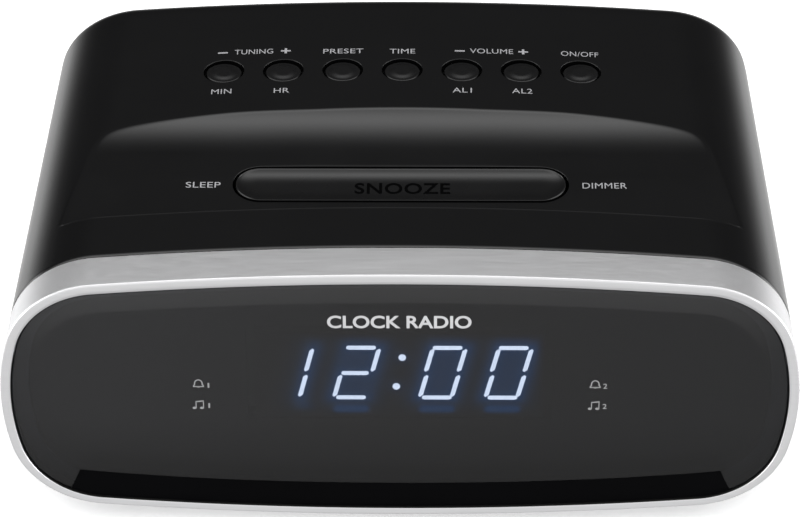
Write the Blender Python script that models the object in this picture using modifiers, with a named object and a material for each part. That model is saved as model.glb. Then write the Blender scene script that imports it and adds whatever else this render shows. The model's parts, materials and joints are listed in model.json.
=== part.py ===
"""Bedside clock radio: tapered two-shell case, metal-look front bezel, smoked window, press keys and internals.

Frame: X to the right as seen from the front, Y to the back, Z up. Origin at the middle of the footprint,
on the surface the rubber feet stand on. Sizes below are in millimetres; meshes are made in metres.
"""
import math

import bmesh
import bpy
from mathutils import Matrix, Vector

MM = 0.001

# ---------------------------------------------------------------- driving dimensions (mm)
WIDTH = 140.0            # across the bezel at the front
FACE_H = 54.5            # bezel height at the front
DEPTH = 92.0             # bezel front to rear wall
FOOT_LIFT = 2.0          # lowest point of the case above the table
HALF_W = WIDTH / 2
HALF_H = FACE_H / 2
CROWN_R = 601.0          # radius of the gently crowned top and bottom
CORNER_R = 17.4          # corner radius of the section
SIDE_R = 49.3            # radius of the bulged sides
SIDE_TAPER = 4.35        # how much each side closes in from front to rear
TOP_TAPER = 4.9          # how much the top falls from front to rear
ZC = FOOT_LIFT + HALF_H  # height of the section's widest line
Y0 = -DEPTH / 2          # front plane
WALL = 2.0
GAP = 0.3
REAR_ROUND = 4.0
BEZEL_DEPTH = 8.3
LIP = 1.8                # face width of the bezel lip
SPLIT_Z = 22.0           # parting plane between upper and lower shells

# finger recess across the top
RECESS_FRONT = 21.4      # depth from the front plane of its steep front wall
RECESS_FLOOR = 21.47     # floor height above ZC at the front wall
RECESS_SLOPE = 0.030     # floor climbs slightly to the rear
RECESS_ARC_START = 44.0  # where the concave rear slope begins
RECESS_ARC_R = 20.7      # its radius

# keys
KEY_PITCH = 10.93
KEY_ROW = 65.6           # depth of the key row
KEY_BOW = 0.6            # the row bends back this much at its ends
KEY_R = 3.3
KEY_GAP = 0.45           # round each key in its hole
KEY_NAMES = ["tuning_down", "tuning_up", "preset", "time", "volume_down", "volume_up", "power"]
KEY_TRAVEL = 0.5
BAR_ROW = 33.2
BAR_HALF_L = 29.4
BAR_HALF_W = 4.57
BAR_DISH = 0.65          # how deep the bar's top is hollowed for the finger
BAR_TRAVEL = 0.8
KEY_PCB_TOP = 42.6

SEG = 12                 # outline points per quadrant


# ---------------------------------------------------------------- scene set-up
for old in list(bpy.data.objects):
    bpy.data.objects.remove(old, do_unlink=True)

radio = bpy.data.collections.new("clock_radio")
cutters = bpy.data.collections.new("cutters")
bpy.context.scene.collection.children.link(radio)
bpy.context.scene.collection.children.link(cutters)
cutters.hide_render = True

MATERIALS = {}


def material(name, colour, rough, metal=0.0, alpha=1.0):
    if name not in MATERIALS:
        m = bpy.data.materials.new(name)
        m.use_nodes = True
        bsdf = m.node_tree.nodes["Principled BSDF"]
        bsdf.inputs["Base Color"].default_value = (*colour, 1.0)
        bsdf.inputs["Roughness"].default_value = rough
        bsdf.inputs["Metallic"].default_value = metal
        bsdf.inputs["Alpha"].default_value = alpha
        m.diffuse_color = (*colour, alpha)
        MATERIALS[name] = m
    return MATERIALS[name]


GLOSS_BLACK = ("gloss_black_abs", (0.012, 0.012, 0.013), 0.16)
MATTE_BLACK = ("matte_black_abs", (0.02, 0.02, 0.021), 0.55)
SILVER = ("brushed_silver", (0.62, 0.62, 0.63), 0.34, 1.0)
SMOKED = ("smoked_acrylic", (0.03, 0.03, 0.034), 0.06)
BLACK_PART = ("inner_black_plastic", (0.015, 0.015, 0.015), 0.6)
PCB_GREEN = ("circuit_board", (0.03, 0.16, 0.07), 0.5)
SWITCH_GREY = ("switch_body", (0.05, 0.05, 0.055), 0.5)
PLUNGER_WHITE = ("switch_plunger", (0.75, 0.74, 0.7), 0.5)
STEEL = ("steel", (0.55, 0.55, 0.56), 0.35, 1.0)
IRON = ("lamination_steel", (0.2, 0.2, 0.21), 0.5, 1.0)
COPPER_TAPE = ("coil_tape", (0.75, 0.55, 0.12), 0.5)
PAPER = ("cone_paper", (0.05, 0.05, 0.05), 0.9)
RUBBER = ("rubber", (0.025, 0.025, 0.025), 0.85)
CAP_SLEEVE = ("capacitor_sleeve", (0.03, 0.04, 0.12), 0.4)
DISPLAY = ("display_face", (0.12, 0.12, 0.13), 0.4)
FLEX = ("ribbon", (0.7, 0.7, 0.68), 0.5)


# ---------------------------------------------------------------- helpers
def add(name, mesh, finish=None, at=(0, 0, 0)):
    obj = bpy.data.objects.new(name, mesh)
    obj.location = Vector(at) * MM
    if finish is None:
        cutters.objects.link(obj)
        obj.hide_render = True
        obj.display_type = "WIRE"
    else:
        radio.objects.link(obj)
        mesh.materials.append(material(*finish))
    return obj


def from_bmesh(name, bm, finish=None, at=(0, 0, 0)):
    bmesh.ops.recalc_face_normals(bm, faces=bm.faces)
    mesh = bpy.data.meshes.new(name)
    bm.to_mesh(mesh)
    bm.free()
    return add(name, mesh, finish, at)


def box(name, low, high, finish=None, origin=(0, 0, 0)):
    """Box between two corners in case coordinates; origin is where the object's own origin goes."""
    lo, hi, org = Vector(low), Vector(high), Vector(origin)
    bm = bmesh.new()
    bmesh.ops.create_cube(bm, size=1.0)
    bmesh.ops.scale(bm, vec=(hi - lo) * MM, verts=bm.verts)
    bmesh.ops.translate(bm, vec=((lo + hi) / 2 - org) * MM, verts=bm.verts)
    return from_bmesh(name, bm, finish, org)


def boxes(name, corners, finish=None):
    bm = bmesh.new()
    for low, high in corners:
        lo, hi = Vector(low), Vector(high)
        made = bmesh.ops.create_cube(bm, size=1.0)["verts"]
        bmesh.ops.scale(bm, vec=(hi - lo) * MM, verts=made)
        bmesh.ops.translate(bm, vec=((lo + hi) / 2) * MM, verts=made)
    return from_bmesh(name, bm, finish)


def cylinder(name, r, low, high, axis="Z", segments=24, finish=None, origin=None, r_high=None):
    """Cylinder or cone frustum from point low to point high along one axis."""
    lo, hi = Vector(low), Vector(high)
    org = Vector(origin) if origin is not None else Vector((0, 0, 0))
    length = (hi - lo).length
    bm = bmesh.new()
    bmesh.ops.create_cone(
        bm, cap_ends=True, segments=segments, radius1=r * MM,
        radius2=(r if r_high is None else r_high) * MM, depth=length * MM,
    )
    if axis == "Y":
        bmesh.ops.rotate(bm, matrix=Matrix.Rotation(-math.pi / 2, 3, "X"), verts=bm.verts)
    elif axis == "X":
        bmesh.ops.rotate(bm, matrix=Matrix.Rotation(math.pi / 2, 3, "Y"), verts=bm.verts)
    bmesh.ops.translate(bm, vec=((lo + hi) / 2 - org) * MM, verts=bm.verts)
    return from_bmesh(name, bm, finish, org)


def cylinders(name, items, segments=20):
    """Several upright cylinders in one helper: (x, y, r, z_low, z_high)."""
    bm = bmesh.new()
    for x, y, r, z0, z1 in items:
        made = bmesh.ops.create_cone(
            bm, cap_ends=True, segments=segments, radius1=r * MM, radius2=r * MM, depth=(z1 - z0) * MM
        )["verts"]
        bmesh.ops.translate(bm, vec=Vector((x, y, (z0 + z1) / 2)) * MM, verts=made)
    return from_bmesh(name, bm)


def turned(name, profile, finish, at, segments=24, axis="Z"):
    """Profile of (radius, height) points from the top, down the outer side, to the bottom, spun about an axis."""
    mesh = bpy.data.meshes.new(name)
    mesh.from_pydata([(r * MM, 0, z * MM) for r, z in profile],
                     [(i, i + 1) for i in range(len(profile) - 1)], [])
    obj = add(name, mesh, finish, at)
    spin = obj.modifiers.new("spin", "SCREW")
    spin.axis = "Z"
    spin.angle = 2 * math.pi
    spin.steps = segments
    spin.render_steps = segments
    spin.use_merge_vertices = True
    spin.merge_threshold = 0.00001
    spin.use_smooth_shade = False
    if axis == "Y":
        obj.rotation_euler = (math.pi / 2, 0, 0)
    elif axis == "X":
        obj.rotation_euler = (0, math.pi / 2, 0)
    return obj


def extruded(name, loop, low, high, finish=None, origin=(0, 0, 0), plane="XY"):
    """Flat outline pushed from low to high: outline in XY goes along Z, in XZ along Y, in YZ along X."""
    org = Vector(origin)

    def place(a, b, c):
        return Vector({"XY": (a, b, c), "XZ": (a, c, b), "YZ": (c, a, b)}[plane]) - org

    bm = bmesh.new()
    face = bm.faces.new([bm.verts.new(place(a, b, low) * MM) for a, b in loop])
    made = bmesh.ops.extrude_face_region(bm, geom=[face])["geom"]
    shift = place(0, 0, high) - place(0, 0, low)
    bmesh.ops.translate(bm, vec=shift * MM, verts=[g for g in made if isinstance(g, bmesh.types.BMVert)])
    return from_bmesh(name, bm, finish, org)


def loft(name, loops, finish=None, closed=False, origin=(0, 0, 0)):
    """Skin through equal-length loops of points; open ends are capped, a closed one joins last to first."""
    org = Vector(origin)
    bm = bmesh.new()
    rings = [[bm.verts.new((Vector(p) - org) * MM) for p in loop] for loop in loops]
    pairs = list(zip(rings, rings[1:])) + ([(rings[-1], rings[0])] if closed else [])
    for a, b in pairs:
        for i in range(len(a)):
            j = (i + 1) % len(a)
            bm.faces.new((a[i], a[j], b[j], b[i]))
    if not closed:
        bm.faces.new(rings[0])
        bm.faces.new(rings[-1])
    return from_bmesh(name, bm, finish, org)


def cut(obj, other, operation="DIFFERENCE"):
    m = obj.modifiers.new(other.name, "BOOLEAN")
    m.operation = operation
    m.solver = "EXACT"
    m.object = other
    return obj


def stadium(half_l, half_w, cx, cy, n=10):
    """Slot shape: two half circles joined by straight sides, long along X."""
    pts = []
    for side in (1, -1):
        for i in range(n + 1):
            a = -math.pi / 2 + math.pi * i / n
            pts.append((cx + side * (half_l - half_w + half_w * math.cos(a)), cy + side * half_w * math.sin(a)))
    return pts


def y_at(depth):
    return Y0 + depth


# ---------------------------------------------------------------- the case section
def quadrant(inset=0.0, n=SEG):
    """Upper right quarter of the section: crown arc, corner arc and side arc, tangent to each other."""
    a, b = HALF_W - inset, HALF_H - inset
    r1, rc, r3 = CROWN_R - inset, CORNER_R - inset, SIDE_R - inset
    c1, c3 = Vector((0, b - r1)), Vector((a - r3, 0))
    d1, d3, span = r1 - rc, r3 - rc, c3 - c1
    along = (d1 * d1 - d3 * d3 + span.length_squared) / (2 * span.length)
    off = math.sqrt(max(0.0, d1 * d1 - along * along))
    unit = span.normalized()
    mid = c1 + unit * along
    options = [mid + Vector((-unit.y, unit.x)) * off * s for s in (1, -1)]
    c2 = max(options, key=lambda p: min(p.x, p.y))
    t1 = math.atan2((c2 - c1).y, (c2 - c1).x)
    t3 = math.atan2((c2 - c3).y, (c2 - c3).x)
    n1, n2 = max(2, round(n * 0.28)), max(3, round(n * 0.5))
    n3 = max(2, n - n1 - n2)
    pts = []
    for centre, r, start, end, steps in ((c1, r1, math.pi / 2, t1, n1), (c2, rc, t1, t3, n2), (c3, r3, t3, 0.0, n3)):
        for i in range(steps):
            t = start + (end - start) * i / steps
            pts.append((centre.x + r * math.cos(t), centre.y + r * math.sin(t)))
    pts.append((a, 0.0))
    return pts


def section(depth, inset=0.0):
    """Full section loop at a depth behind the front plane, as (x, y, z) points."""
    q = quadrant(inset)
    kx = 1 - SIDE_TAPER * depth / DEPTH / HALF_W
    kz = 1 - TOP_TAPER * depth / DEPTH / HALF_H
    right = q + [(x, -z) for x, z in reversed(q[:-1])]
    left = [(-x, z) for x, z in reversed(right[1:-1])]
    return [(x * kx, y_at(depth), ZC + (z * kz if z > 0 else z)) for x, z in right + left]


def top_z(x, depth):
    """Height of the crowned top surface above the table."""
    kx = 1 - SIDE_TAPER * depth / DEPTH / HALF_W
    kz = 1 - TOP_TAPER * depth / DEPTH / HALF_H
    q = quadrant()
    ax = abs(x) / kx
    for (xa, za), (xb, zb) in zip(q, q[1:]):
        if xa - 1e-6 <= ax <= xb:
            return ZC + (za + (zb - za) * (ax - xa) / max(1e-9, xb - xa)) * kz
    return ZC


def case_form(name, front, rear, inset, rounding):
    """Tapered solid of the case between two depths, with its rear edge rounded."""
    loops = [section(front, inset), section((front + rear - rounding) / 2, inset), section(rear - rounding, inset)]
    for i in range(1, 5):
        t = math.pi / 2 * i / 4
        loops.append(section(rear - rounding + rounding * math.sin(t), inset + rounding * (1 - math.cos(t))))
    return loft(name, loops)


# ---------------------------------------------------------------- finger recess
def recess_floor(depth):
    """Height above ZC of the recess surface, the same across the width."""
    z = RECESS_FLOOR + RECESS_SLOPE * (depth - RECESS_FRONT)
    if depth > RECESS_ARC_START:
        d = depth - RECESS_ARC_START
        z = (RECESS_FLOOR + RECESS_SLOPE * (RECESS_ARC_START - RECESS_FRONT) + RECESS_SLOPE * d
             + RECESS_ARC_R - math.sqrt(RECESS_ARC_R ** 2 - d * d))
    return z


def recess(name, thick):
    """Cutter for the recess; thick grows it downwards and outwards by the wall thickness."""
    pts = [(y_at(RECESS_FRONT - thick - 1.2), ZC + 40)]
    pts += [(y_at(RECESS_FRONT - thick), ZC + HALF_H - thick + 0.5)] if thick == 0 else []
    pts.append((y_at(RECESS_FRONT - thick + 0.5), ZC + recess_floor(RECESS_FRONT) - thick))
    n = 12
    end = RECESS_ARC_START + 15.5
    pts.append((y_at(RECESS_ARC_START), ZC + recess_floor(RECESS_ARC_START) - thick))
    for i in range(1, n + 1):
        d = RECESS_ARC_START + (end - RECESS_ARC_START) * i / n
        slope = RECESS_SLOPE + (d - RECESS_ARC_START) / math.sqrt(RECESS_ARC_R ** 2 - (d - RECESS_ARC_START) ** 2)
        k = 1 / math.sqrt(1 + slope * slope)
        pts.append((y_at(d + thick * slope * k), ZC + recess_floor(d) - thick * k))
    pts.append((y_at(end + 1.0 + thick), ZC + 40))
    return extruded(name, pts, -90, 90, plane="YZ")


KEYS = []
for i, key in enumerate(KEY_NAMES):
    kx = (i - 3) * KEY_PITCH
    KEYS.append((key, kx, KEY_ROW + KEY_BOW * (kx / (3 * KEY_PITCH)) ** 2))

CASE_SCREWS = [(-54.5, 28.0), (54.5, 28.0), (-52.0, 66.0), (52.0, 66.0)]
KEY_BOSSES = [(-38.0, 30.0), (38.0, 30.0), (-38.0, 72.0), (38.0, 72.0)]
PCB_POSTS = [(-45.5, 19.5), (4.0, 19.5), (-45.5, 81.0), (4.0, 81.0)]
SPEAKER = (-30.0, 44.0)
FEET = [(-50.0, 15.5), (50.0, 15.5), (-46.5, 82.0), (46.5, 82.0)]
BAY_X = (-2.3, 47.8)     # battery bay, inside
BAY_D = (30.7, 54.3)
BAY_TOP = 15.0
TRAFO = (28.4, 75.0)     # transformer centre
GROMMET = (-42.0, SPLIT_Z)

# ---------------------------------------------------------------- upper shell
top = case_form("top_housing", BEZEL_DEPTH + GAP, DEPTH, 0.0, REAR_ROUND)
cutters.objects.unlink(top)
radio.objects.link(top)
top.hide_render = False
top.display_type = "TEXTURED"
top.data.materials.append(material(*GLOSS_BLACK))

top_void = case_form("cut_top_void", BEZEL_DEPTH - 4, DEPTH - WALL - 0.2, WALL, REAR_ROUND - 1.5)
cut(top_void, recess("cut_recess_skin", WALL))
cut(top_void, cylinders("keep_case_posts", [(x, y_at(d), 3.6, -10, 70) for x, d in CASE_SCREWS], 16))
cut(top_void, cylinders("keep_key_bosses", [(x, y_at(d), 2.8, KEY_PCB_TOP + GAP, 70) for x, d in KEY_BOSSES], 14))
cut(top, top_void)
cut(top, recess("cut_recess", 0.0))
cut(top, box("cut_below_split", (-90, -80, -20), (90, 80, SPLIT_Z + GAP / 2)))
cut(top, cylinders("cut_key_holes", [(x, y_at(d), KEY_R + KEY_GAP, 45, 70) for _, x, d in KEYS], 24))
cut(top, extruded("cut_bar_hole", stadium(BAR_HALF_L + 0.55, BAR_HALF_W + 0.55, 0, y_at(BAR_ROW)), 46, 70))
cut(top, cylinders("cut_case_pilots", [(x, y_at(d), 1.6, 10, 33.5) for x, d in CASE_SCREWS], 12))
cut(top, cylinder("cut_cord_hole_upper", 5.1, (GROMMET[0], y_at(80), GROMMET[1]), (GROMMET[0], y_at(100), GROMMET[1]), "Y", 24))
cut(top, cylinder("cut_cord_pocket_upper", 6.4, (GROMMET[0], y_at(DEPTH - 1.3), GROMMET[1]), (GROMMET[0], y_at(100), GROMMET[1]), "Y", 24))
cut(top, cylinder("cut_aerial_hole", 1.1, (40, y_at(85), 31), (40, y_at(100), 31), "Y", 12))

# ---------------------------------------------------------------- lower shell
base = case_form("bottom_housing", BEZEL_DEPTH + GAP, DEPTH, 0.0, REAR_ROUND)
cutters.objects.unlink(base)
radio.objects.link(base)
base.hide_render = False
base.display_type = "TEXTURED"
base.data.materials.append(material(*MATTE_BLACK))

low_void = case_form("cut_base_void", BEZEL_DEPTH - 4, DEPTH - WALL - 0.2, WALL, REAR_ROUND - 1.5)
cut(low_void, cylinders("keep_screw_tubes", [(x, y_at(d), 4.4, -10, 40) for x, d in CASE_SCREWS], 16))
cut(low_void, cylinders("keep_board_posts", [(x, y_at(d), 2.8, -10, 25.2) for x, d in PCB_POSTS], 12))
cut(low_void, cylinders("keep_speaker_seat", [(SPEAKER[0], y_at(SPEAKER[1]), 23.0, -10, 6.2)], 32))
cut(low_void, cylinders("keep_strap_bosses", [(TRAFO[0] + s * 20.3, y_at(TRAFO[1]), 2.8, -10, 6.2) for s in (-1, 1)], 12))
cut(low_void, box("keep_battery_box", (BAY_X[0] - 1.5, y_at(BAY_D[0] - 1.5), -10), (BAY_X[1] + 1.5, y_at(BAY_D[1] + 1.5), BAY_TOP + 1.5)))
cut(base, low_void)
cut(base, box("cut_above_split", (-90, -80, SPLIT_Z - GAP / 2), (90, 80, 90)))
cut(base, box("cut_battery_bay", (BAY_X[0], y_at(BAY_D[0]), -5), (BAY_X[1], y_at(BAY_D[1]), BAY_TOP)))
TABS = [(35.0, 39.0), (46.0, 50.0)]
cut(base, boxes("cut_tab_slots", [((BAY_X[0] - 5, y_at(a - 0.4), 4.35), (BAY_X[0] + 1, y_at(b + 0.4), 8.6)) for a, b in TABS]))
slots = []
for k in range(-4, 5):
    dy = k * 4.0
    half = math.sqrt(18.5 ** 2 - dy * dy)
    slots.append(((SPEAKER[0] - half, y_at(SPEAKER[1] + dy - 0.8), -5), (SPEAKER[0] + half, y_at(SPEAKER[1] + dy + 0.8), 9)))
for k in range(5):
    d = 64.0 + 4.5 * k
    slots.append(((TRAFO[0] - 10, y_at(d - 0.75), -5), (TRAFO[0] + 10, y_at(d + 0.75), 5.9)))
cut(base, boxes("cut_grille_slots", slots))
cut(base, cylinders("cut_foot_pockets", [(x, y_at(d), 5.3, -5, 5.2) for x, d in FEET], 24))
cut(base, cylinders("cut_screw_sinks", [(x, y_at(d), 3.1, -5, 15) for x, d in CASE_SCREWS], 16))
cut(base, cylinders("cut_screw_holes", [(x, y_at(d), 1.7, 10, 30) for x, d in CASE_SCREWS], 12))
cut(base, cylinder("cut_cord_hole_lower", 5.1, (GROMMET[0], y_at(80), GROMMET[1]), (GROMMET[0], y_at(100), GROMMET[1]), "Y", 24))
cut(base, cylinder("cut_cord_pocket_lower", 6.4, (GROMMET[0], y_at(DEPTH - 1.3), GROMMET[1]), (GROMMET[0], y_at(100), GROMMET[1]), "Y", 24))
cut(base, cylinder("cut_finger_notch", 5.5, (BAY_X[1] + 1.5, y_at(42.5), -1.0), (BAY_X[1] + 1.5, y_at(42.5), 4.4), "Z", 24))

# ---------------------------------------------------------------- battery door: swings on two tabs at its inner end
DOOR_PIVOT = (BAY_X[0] + 0.15, y_at(42.5), FOOT_LIFT)
door = case_form("battery_door", BEZEL_DEPTH + GAP, DEPTH, 0.0, REAR_ROUND)
cutters.objects.unlink(door)
radio.objects.link(door)
door.hide_render = False
door.display_type = "TEXTURED"
door.data.materials.append(material(*MATTE_BLACK))
cut(door, box("keep_door_slab", (BAY_X[0] + GAP, y_at(BAY_D[0] + GAP), -5), (BAY_X[1] - GAP, y_at(BAY_D[1] - GAP), 5.4)), "INTERSECT")
cut(door, boxes("add_door_tabs", [((BAY_X[0] - 2.9, y_at(a), 4.6), (BAY_X[0] + 2.5, y_at(b), 5.3)) for a, b in TABS]), "UNION")
cut(door, box("add_door_latch", (44.6, y_at(41.0), 4.0), (45.6, y_at(44.0), 9.0)), "UNION")

# ---------------------------------------------------------------- front bezel, window and display carrier
BEZEL_PROFILE = [
    (0.0, BEZEL_DEPTH), (0.0, 1.1), (0.22, 0.42), (0.7, 0.05), (1.2, 0.0), (1.6, 0.2), (LIP, 0.55),
    (LIP, 3.0), (4.6, 3.0), (4.6, 4.6), (3.5, 4.6), (3.5, 13.0), (2.35, 13.0), (2.35, BEZEL_DEPTH),
]
loft("front_bezel", [section(d, i) for i, d in BEZEL_PROFILE], SILVER, closed=True)

WINDOW_PROFILE = [(8.0, 0.0), (5.4, 0.12), (3.7, 0.38), (2.7, 0.72), (LIP + GAP, 1.15), (LIP + GAP, 2.7)]
loft("front_window", [section(d, i) for i, d in WINDOW_PROFILE], SMOKED)

DISPLAY_Z = ZC + 1.6
carrier = loft("display_frame", [section(5.0, 4.0), section(6.6, 4.0)], BLACK_PART)
cut(carrier, box("cut_display_opening", (-27, y_at(4), DISPLAY_Z - 10.5), (27, y_at(8), DISPLAY_Z + 10.5)))
posts = []
for sx in (-36, 36):
    for z in (20.0, 41.0):
        p = cylinder(f"add_frame_post_{'l' if sx < 0 else 'r'}_{int(z)}", 2.4, (sx, y_at(6.0), z), (sx, y_at(12.7), z), "Y", 14)
        cut(carrier, p, "UNION")
module = box("display_module", (-25.5, y_at(4.2), DISPLAY_Z - 9.5), (25.5, y_at(12.6), DISPLAY_Z + 9.5), DISPLAY)
box("display_board", (-40, y_at(13.0), 16.5), (40, y_at(14.6), 44.5), PCB_GREEN)

# ---------------------------------------------------------------- snooze bar
FLOOR = ZC + recess_floor(BAR_ROW)


def moving(name, at):
    """Empty on a joint's axis, parent of the pieces that move with it."""
    e = bpy.data.objects.new(name, None)
    e.location = Vector(at) * MM
    radio.objects.link(e)
    return e


def carry(empty, *objs):
    for o in objs:
        o.parent = empty
        o.matrix_parent_inverse = Matrix.Translation(-empty.location)


bar_axis = moving("snooze_axis", (0, y_at(BAR_ROW), FLOOR))
BAR_ORIGIN = (0, y_at(BAR_ROW), FLOOR)
flange = extruded("add_bar_flange", stadium(31.6, 6.8, 0, y_at(BAR_ROW), 8), 47.3, 48.6)
cap_loops = []
for inset, lift in ((0.0, -3.2), (0.0, -0.25), (0.25, 0.0)):
    cap_loops.append([(x, y, FLOOR + lift) for x, y in stadium(BAR_HALF_L - inset, BAR_HALF_W - inset, 0, y_at(BAR_ROW))])
bar = loft("snooze_bar", cap_loops, GLOSS_BLACK, origin=BAR_ORIGIN)
dish_r = ((BAR_HALF_W - 0.4) ** 2 + BAR_DISH ** 2) / (2 * BAR_DISH)
cut(bar, cylinder("cut_bar_dish", dish_r, (-40, y_at(BAR_ROW), FLOOR - BAR_DISH + dish_r),
                  (40, y_at(BAR_ROW), FLOOR - BAR_DISH + dish_r), "X", 72))
cut(bar, flange, "UNION")
cut(bar, cylinders("add_bar_posts", [(sx * 22.0, y_at(BAR_ROW), 1.5, 39.4, 48.0) for sx in (-1, 1)], 12), "UNION")
cut(bar, cylinders("add_bar_stems", [(sx * 11.0, y_at(BAR_ROW), 2.0, 47.5 - 0.02, 48.0) for sx in (-1, 1)], 12), "UNION")
carry(bar_axis, bar)


def coil(name, radius, wire, turns, start, end, axis, finish, at, per_turn=9, ends=0.5):
    """Compression spring: a helix from start to end along an axis, with flat end coils."""
    curve = bpy.data.curves.new(name, "CURVE")
    curve.dimensions = "3D"
    curve.bevel_depth = wire / 2 * MM
    curve.bevel_resolution = 1
    curve.use_fill_caps = True
    total = turns + 2 * ends
    n = int(total * per_turn)
    spline = curve.splines.new("POLY")
    spline.points.add(n)
    for i in range(n + 1):
        t = i / per_turn
        f = min(1.0, max(0.0, (t - ends) / turns))
        rise = start + wire / 2 + (end - start - wire) * f
        rise += (min(t, ends) - ends) * wire * 1.12 + max(0.0, t - ends - turns) * wire * 1.12
        a = 2 * math.pi * t
        c, s = radius * math.cos(a), radius * math.sin(a)
        p = (c, s, rise) if axis == "Z" else (rise, c, s)
        spline.points[i].co = (*[v * MM for v in p], 1.0)
    obj = bpy.data.objects.new(name, curve)
    obj.location = Vector(at) * MM
    radio.objects.link(obj)
    curve.materials.append(material(*finish))
    return obj


for side, sx in (("left", -22.0), ("right", 22.0)):
    # end coils lie one wire below and above the working coils, so the stack starts a little inside its seats
    coil(f"snooze_spring_{side}", 2.35, 0.45, 2.5, KEY_PCB_TOP + GAP + 0.28, 47.0 - 0.28, "Z", STEEL, (sx, y_at(BAR_ROW), 0))

# ---------------------------------------------------------------- keys
for key, kx, kd in KEYS:
    zt = top_z(kx, kd)
    at = (kx, y_at(kd), zt)
    axis = moving(f"{key}_axis", at)
    prof = [(0.0, 0.06), (1.3, 0.10), (2.4, 0.18), (3.0, -0.02), (KEY_R, -0.55),
            (KEY_R, -2.75), (4.8, -2.75), (4.8, -3.6), (1.7, -3.6), (1.7, 47.5 - zt), (0.0, 47.5 - zt)]
    cap = turned(f"{key}_button", prof, GLOSS_BLACK, at, segments=16)
    plunger = cylinder(f"{key}_plunger", 1.65, (kx, y_at(kd), 44.7), (kx, y_at(kd), 47.2), "Z", 12, PLUNGER_WHITE, origin=at)
    carry(axis, cap, plunger)
for side, sx in (("left", -11.0), ("right", 11.0)):
    plunger = cylinder(f"snooze_plunger_{side}", 1.65, (sx, y_at(BAR_ROW), 44.7), (sx, y_at(BAR_ROW), 47.2), "Z", 12,
                       PLUNGER_WHITE, origin=BAR_ORIGIN)
    carry(bar_axis, plunger)


def tact(name, x, depth):
    body = box(name, (x - 3.1, y_at(depth) - 3.1, KEY_PCB_TOP + GAP), (x + 3.1, y_at(depth) + 3.1, 46.1), SWITCH_GREY)
    cut(body, cylinder(f"cut_{name}", 2.0, (x, y_at(depth), 43.5), (x, y_at(depth), 48.0), "Z", 12))


for key, kx, kd in KEYS:
    tact(f"{key}_switch", kx, kd)
tact("snooze_switch_left", -11.0, BAR_ROW)
tact("snooze_switch_right", 11.0, BAR_ROW)

key_board = box("key_board", (-43, y_at(25.5), KEY_PCB_TOP - 1.6), (43, y_at(75.5), KEY_PCB_TOP), PCB_GREEN)
cut(key_board, cylinders("cut_key_board_holes", [(s * 22.0, y_at(BAR_ROW), 1.9, 35, 50) for s in (-1, 1)], 12))

# ---------------------------------------------------------------- main board and its parts
box("main_board", (-47.8, y_at(16.2), 25.5), (8, y_at(85), 27.1), PCB_GREEN)
cylinder("filter_capacitor", 5.0, (-2, y_at(70), 27.4), (-2, y_at(70), 39.0), "Z", 20, CAP_SLEEVE)
box("tuner_shield", (-44, y_at(52), 27.4), (-22, y_at(70), 33.0), STEEL)

# ---------------------------------------------------------------- mains transformer on its strap
tx, td = TRAFO
tz = 21.0
core = box("transformer_core", (tx - 16, y_at(td - 6.5), tz - 13.5), (tx + 16, y_at(td + 6.5), tz + 13.5), IRON)
cut(core, boxes("cut_core_windows", [((tx + a, y_at(td - 9), tz - 9), (tx + b, y_at(td + 9), tz + 9)) for a, b in ((4, 11), (-11, -4))]))
winding = box("transformer_coil", (tx - 10.6, y_at(td - 11.2), tz - 8.6), (tx + 10.6, y_at(td + 11.2), tz + 8.6), COPPER_TAPE)
cut(winding, box("cut_coil_bore", (tx - 4.4, y_at(td - 6.9), tz - 12), (tx + 4.4, y_at(td + 6.9), tz + 12)))
strap_loop = [(tx - 22.2, 6.5), (tx - 16.4, 6.5), (tx - 16.4, tz + 13.9), (tx + 16.4, tz + 13.9), (tx + 16.4, 6.5),
              (tx + 22.2, 6.5), (tx + 22.2, 7.4), (tx + 17.3, 7.4), (tx + 17.3, tz + 14.8), (tx - 17.3, tz + 14.8),
              (tx - 17.3, 7.4), (tx - 22.2, 7.4)]
extruded("transformer_strap", strap_loop, y_at(td - 3.8), y_at(td + 3.8), STEEL, plane="XZ")

# ---------------------------------------------------------------- speaker, facing down on the grille
sx, sd = SPEAKER
turned("speaker_frame", [(20.9, 7.9), (22.4, 7.9), (22.4, 6.5), (19.6, 6.5), (19.6, 8.6), (10.6, 15.4), (10.6, 16.6), (11.4, 16.6), (20.9, 9.0), (20.9, 7.9)],
       STEEL, (sx, y_at(sd), 0), segments=28)
turned("speaker_magnet", [(0, 22.6), (12.6, 22.6), (12.6, 16.9), (0, 16.9)], IRON, (sx, y_at(sd), 0), segments=24)
turned("speaker_cone", [(0, 14.6), (6.0, 14.6), (18.9, 8.3), (18.9, 7.4), (18.2, 7.2), (6.2, 13.4), (4.6, 11.9), (0, 11.2)],
       PAPER, (sx, y_at(sd), 0), segments=24)

# ---------------------------------------------------------------- battery contacts
box("battery_bridge", (BAY_X[0] + GAP, y_at(32.5), 7.6), (BAY_X[0] + 0.8, y_at(52.5), 14.0), STEEL)
box("battery_terminal", (BAY_X[1] - 0.8, y_at(33.2), 7.2), (BAY_X[1] - GAP, y_at(40.0), 14.0), STEEL)
coil("battery_spring", 3.0, 0.6, 2.0, 44.4, 47.2, "X", STEEL, (0, y_at(48.6), 10.3))

# ---------------------------------------------------------------- cord grommet, split feet, screws
grom = turned("cord_grommet", [(0, 1.0), (6.0, 1.0), (6.0, 0.0), (4.8, 0.0), (4.8, -1.5), (6.0, -1.5), (6.0, -2.8), (0, -2.8)],
              RUBBER, (GROMMET[0], y_at(DEPTH - 1.0), GROMMET[1]), segments=20)
grom.rotation_euler = (-math.pi / 2, 0, 0)
cut(grom, extruded("cut_cord_slot", stadium(3.3, 2.3, GROMMET[0], GROMMET[1], 6), y_at(DEPTH - 6), y_at(DEPTH + 4), plane="XZ"))

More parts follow.
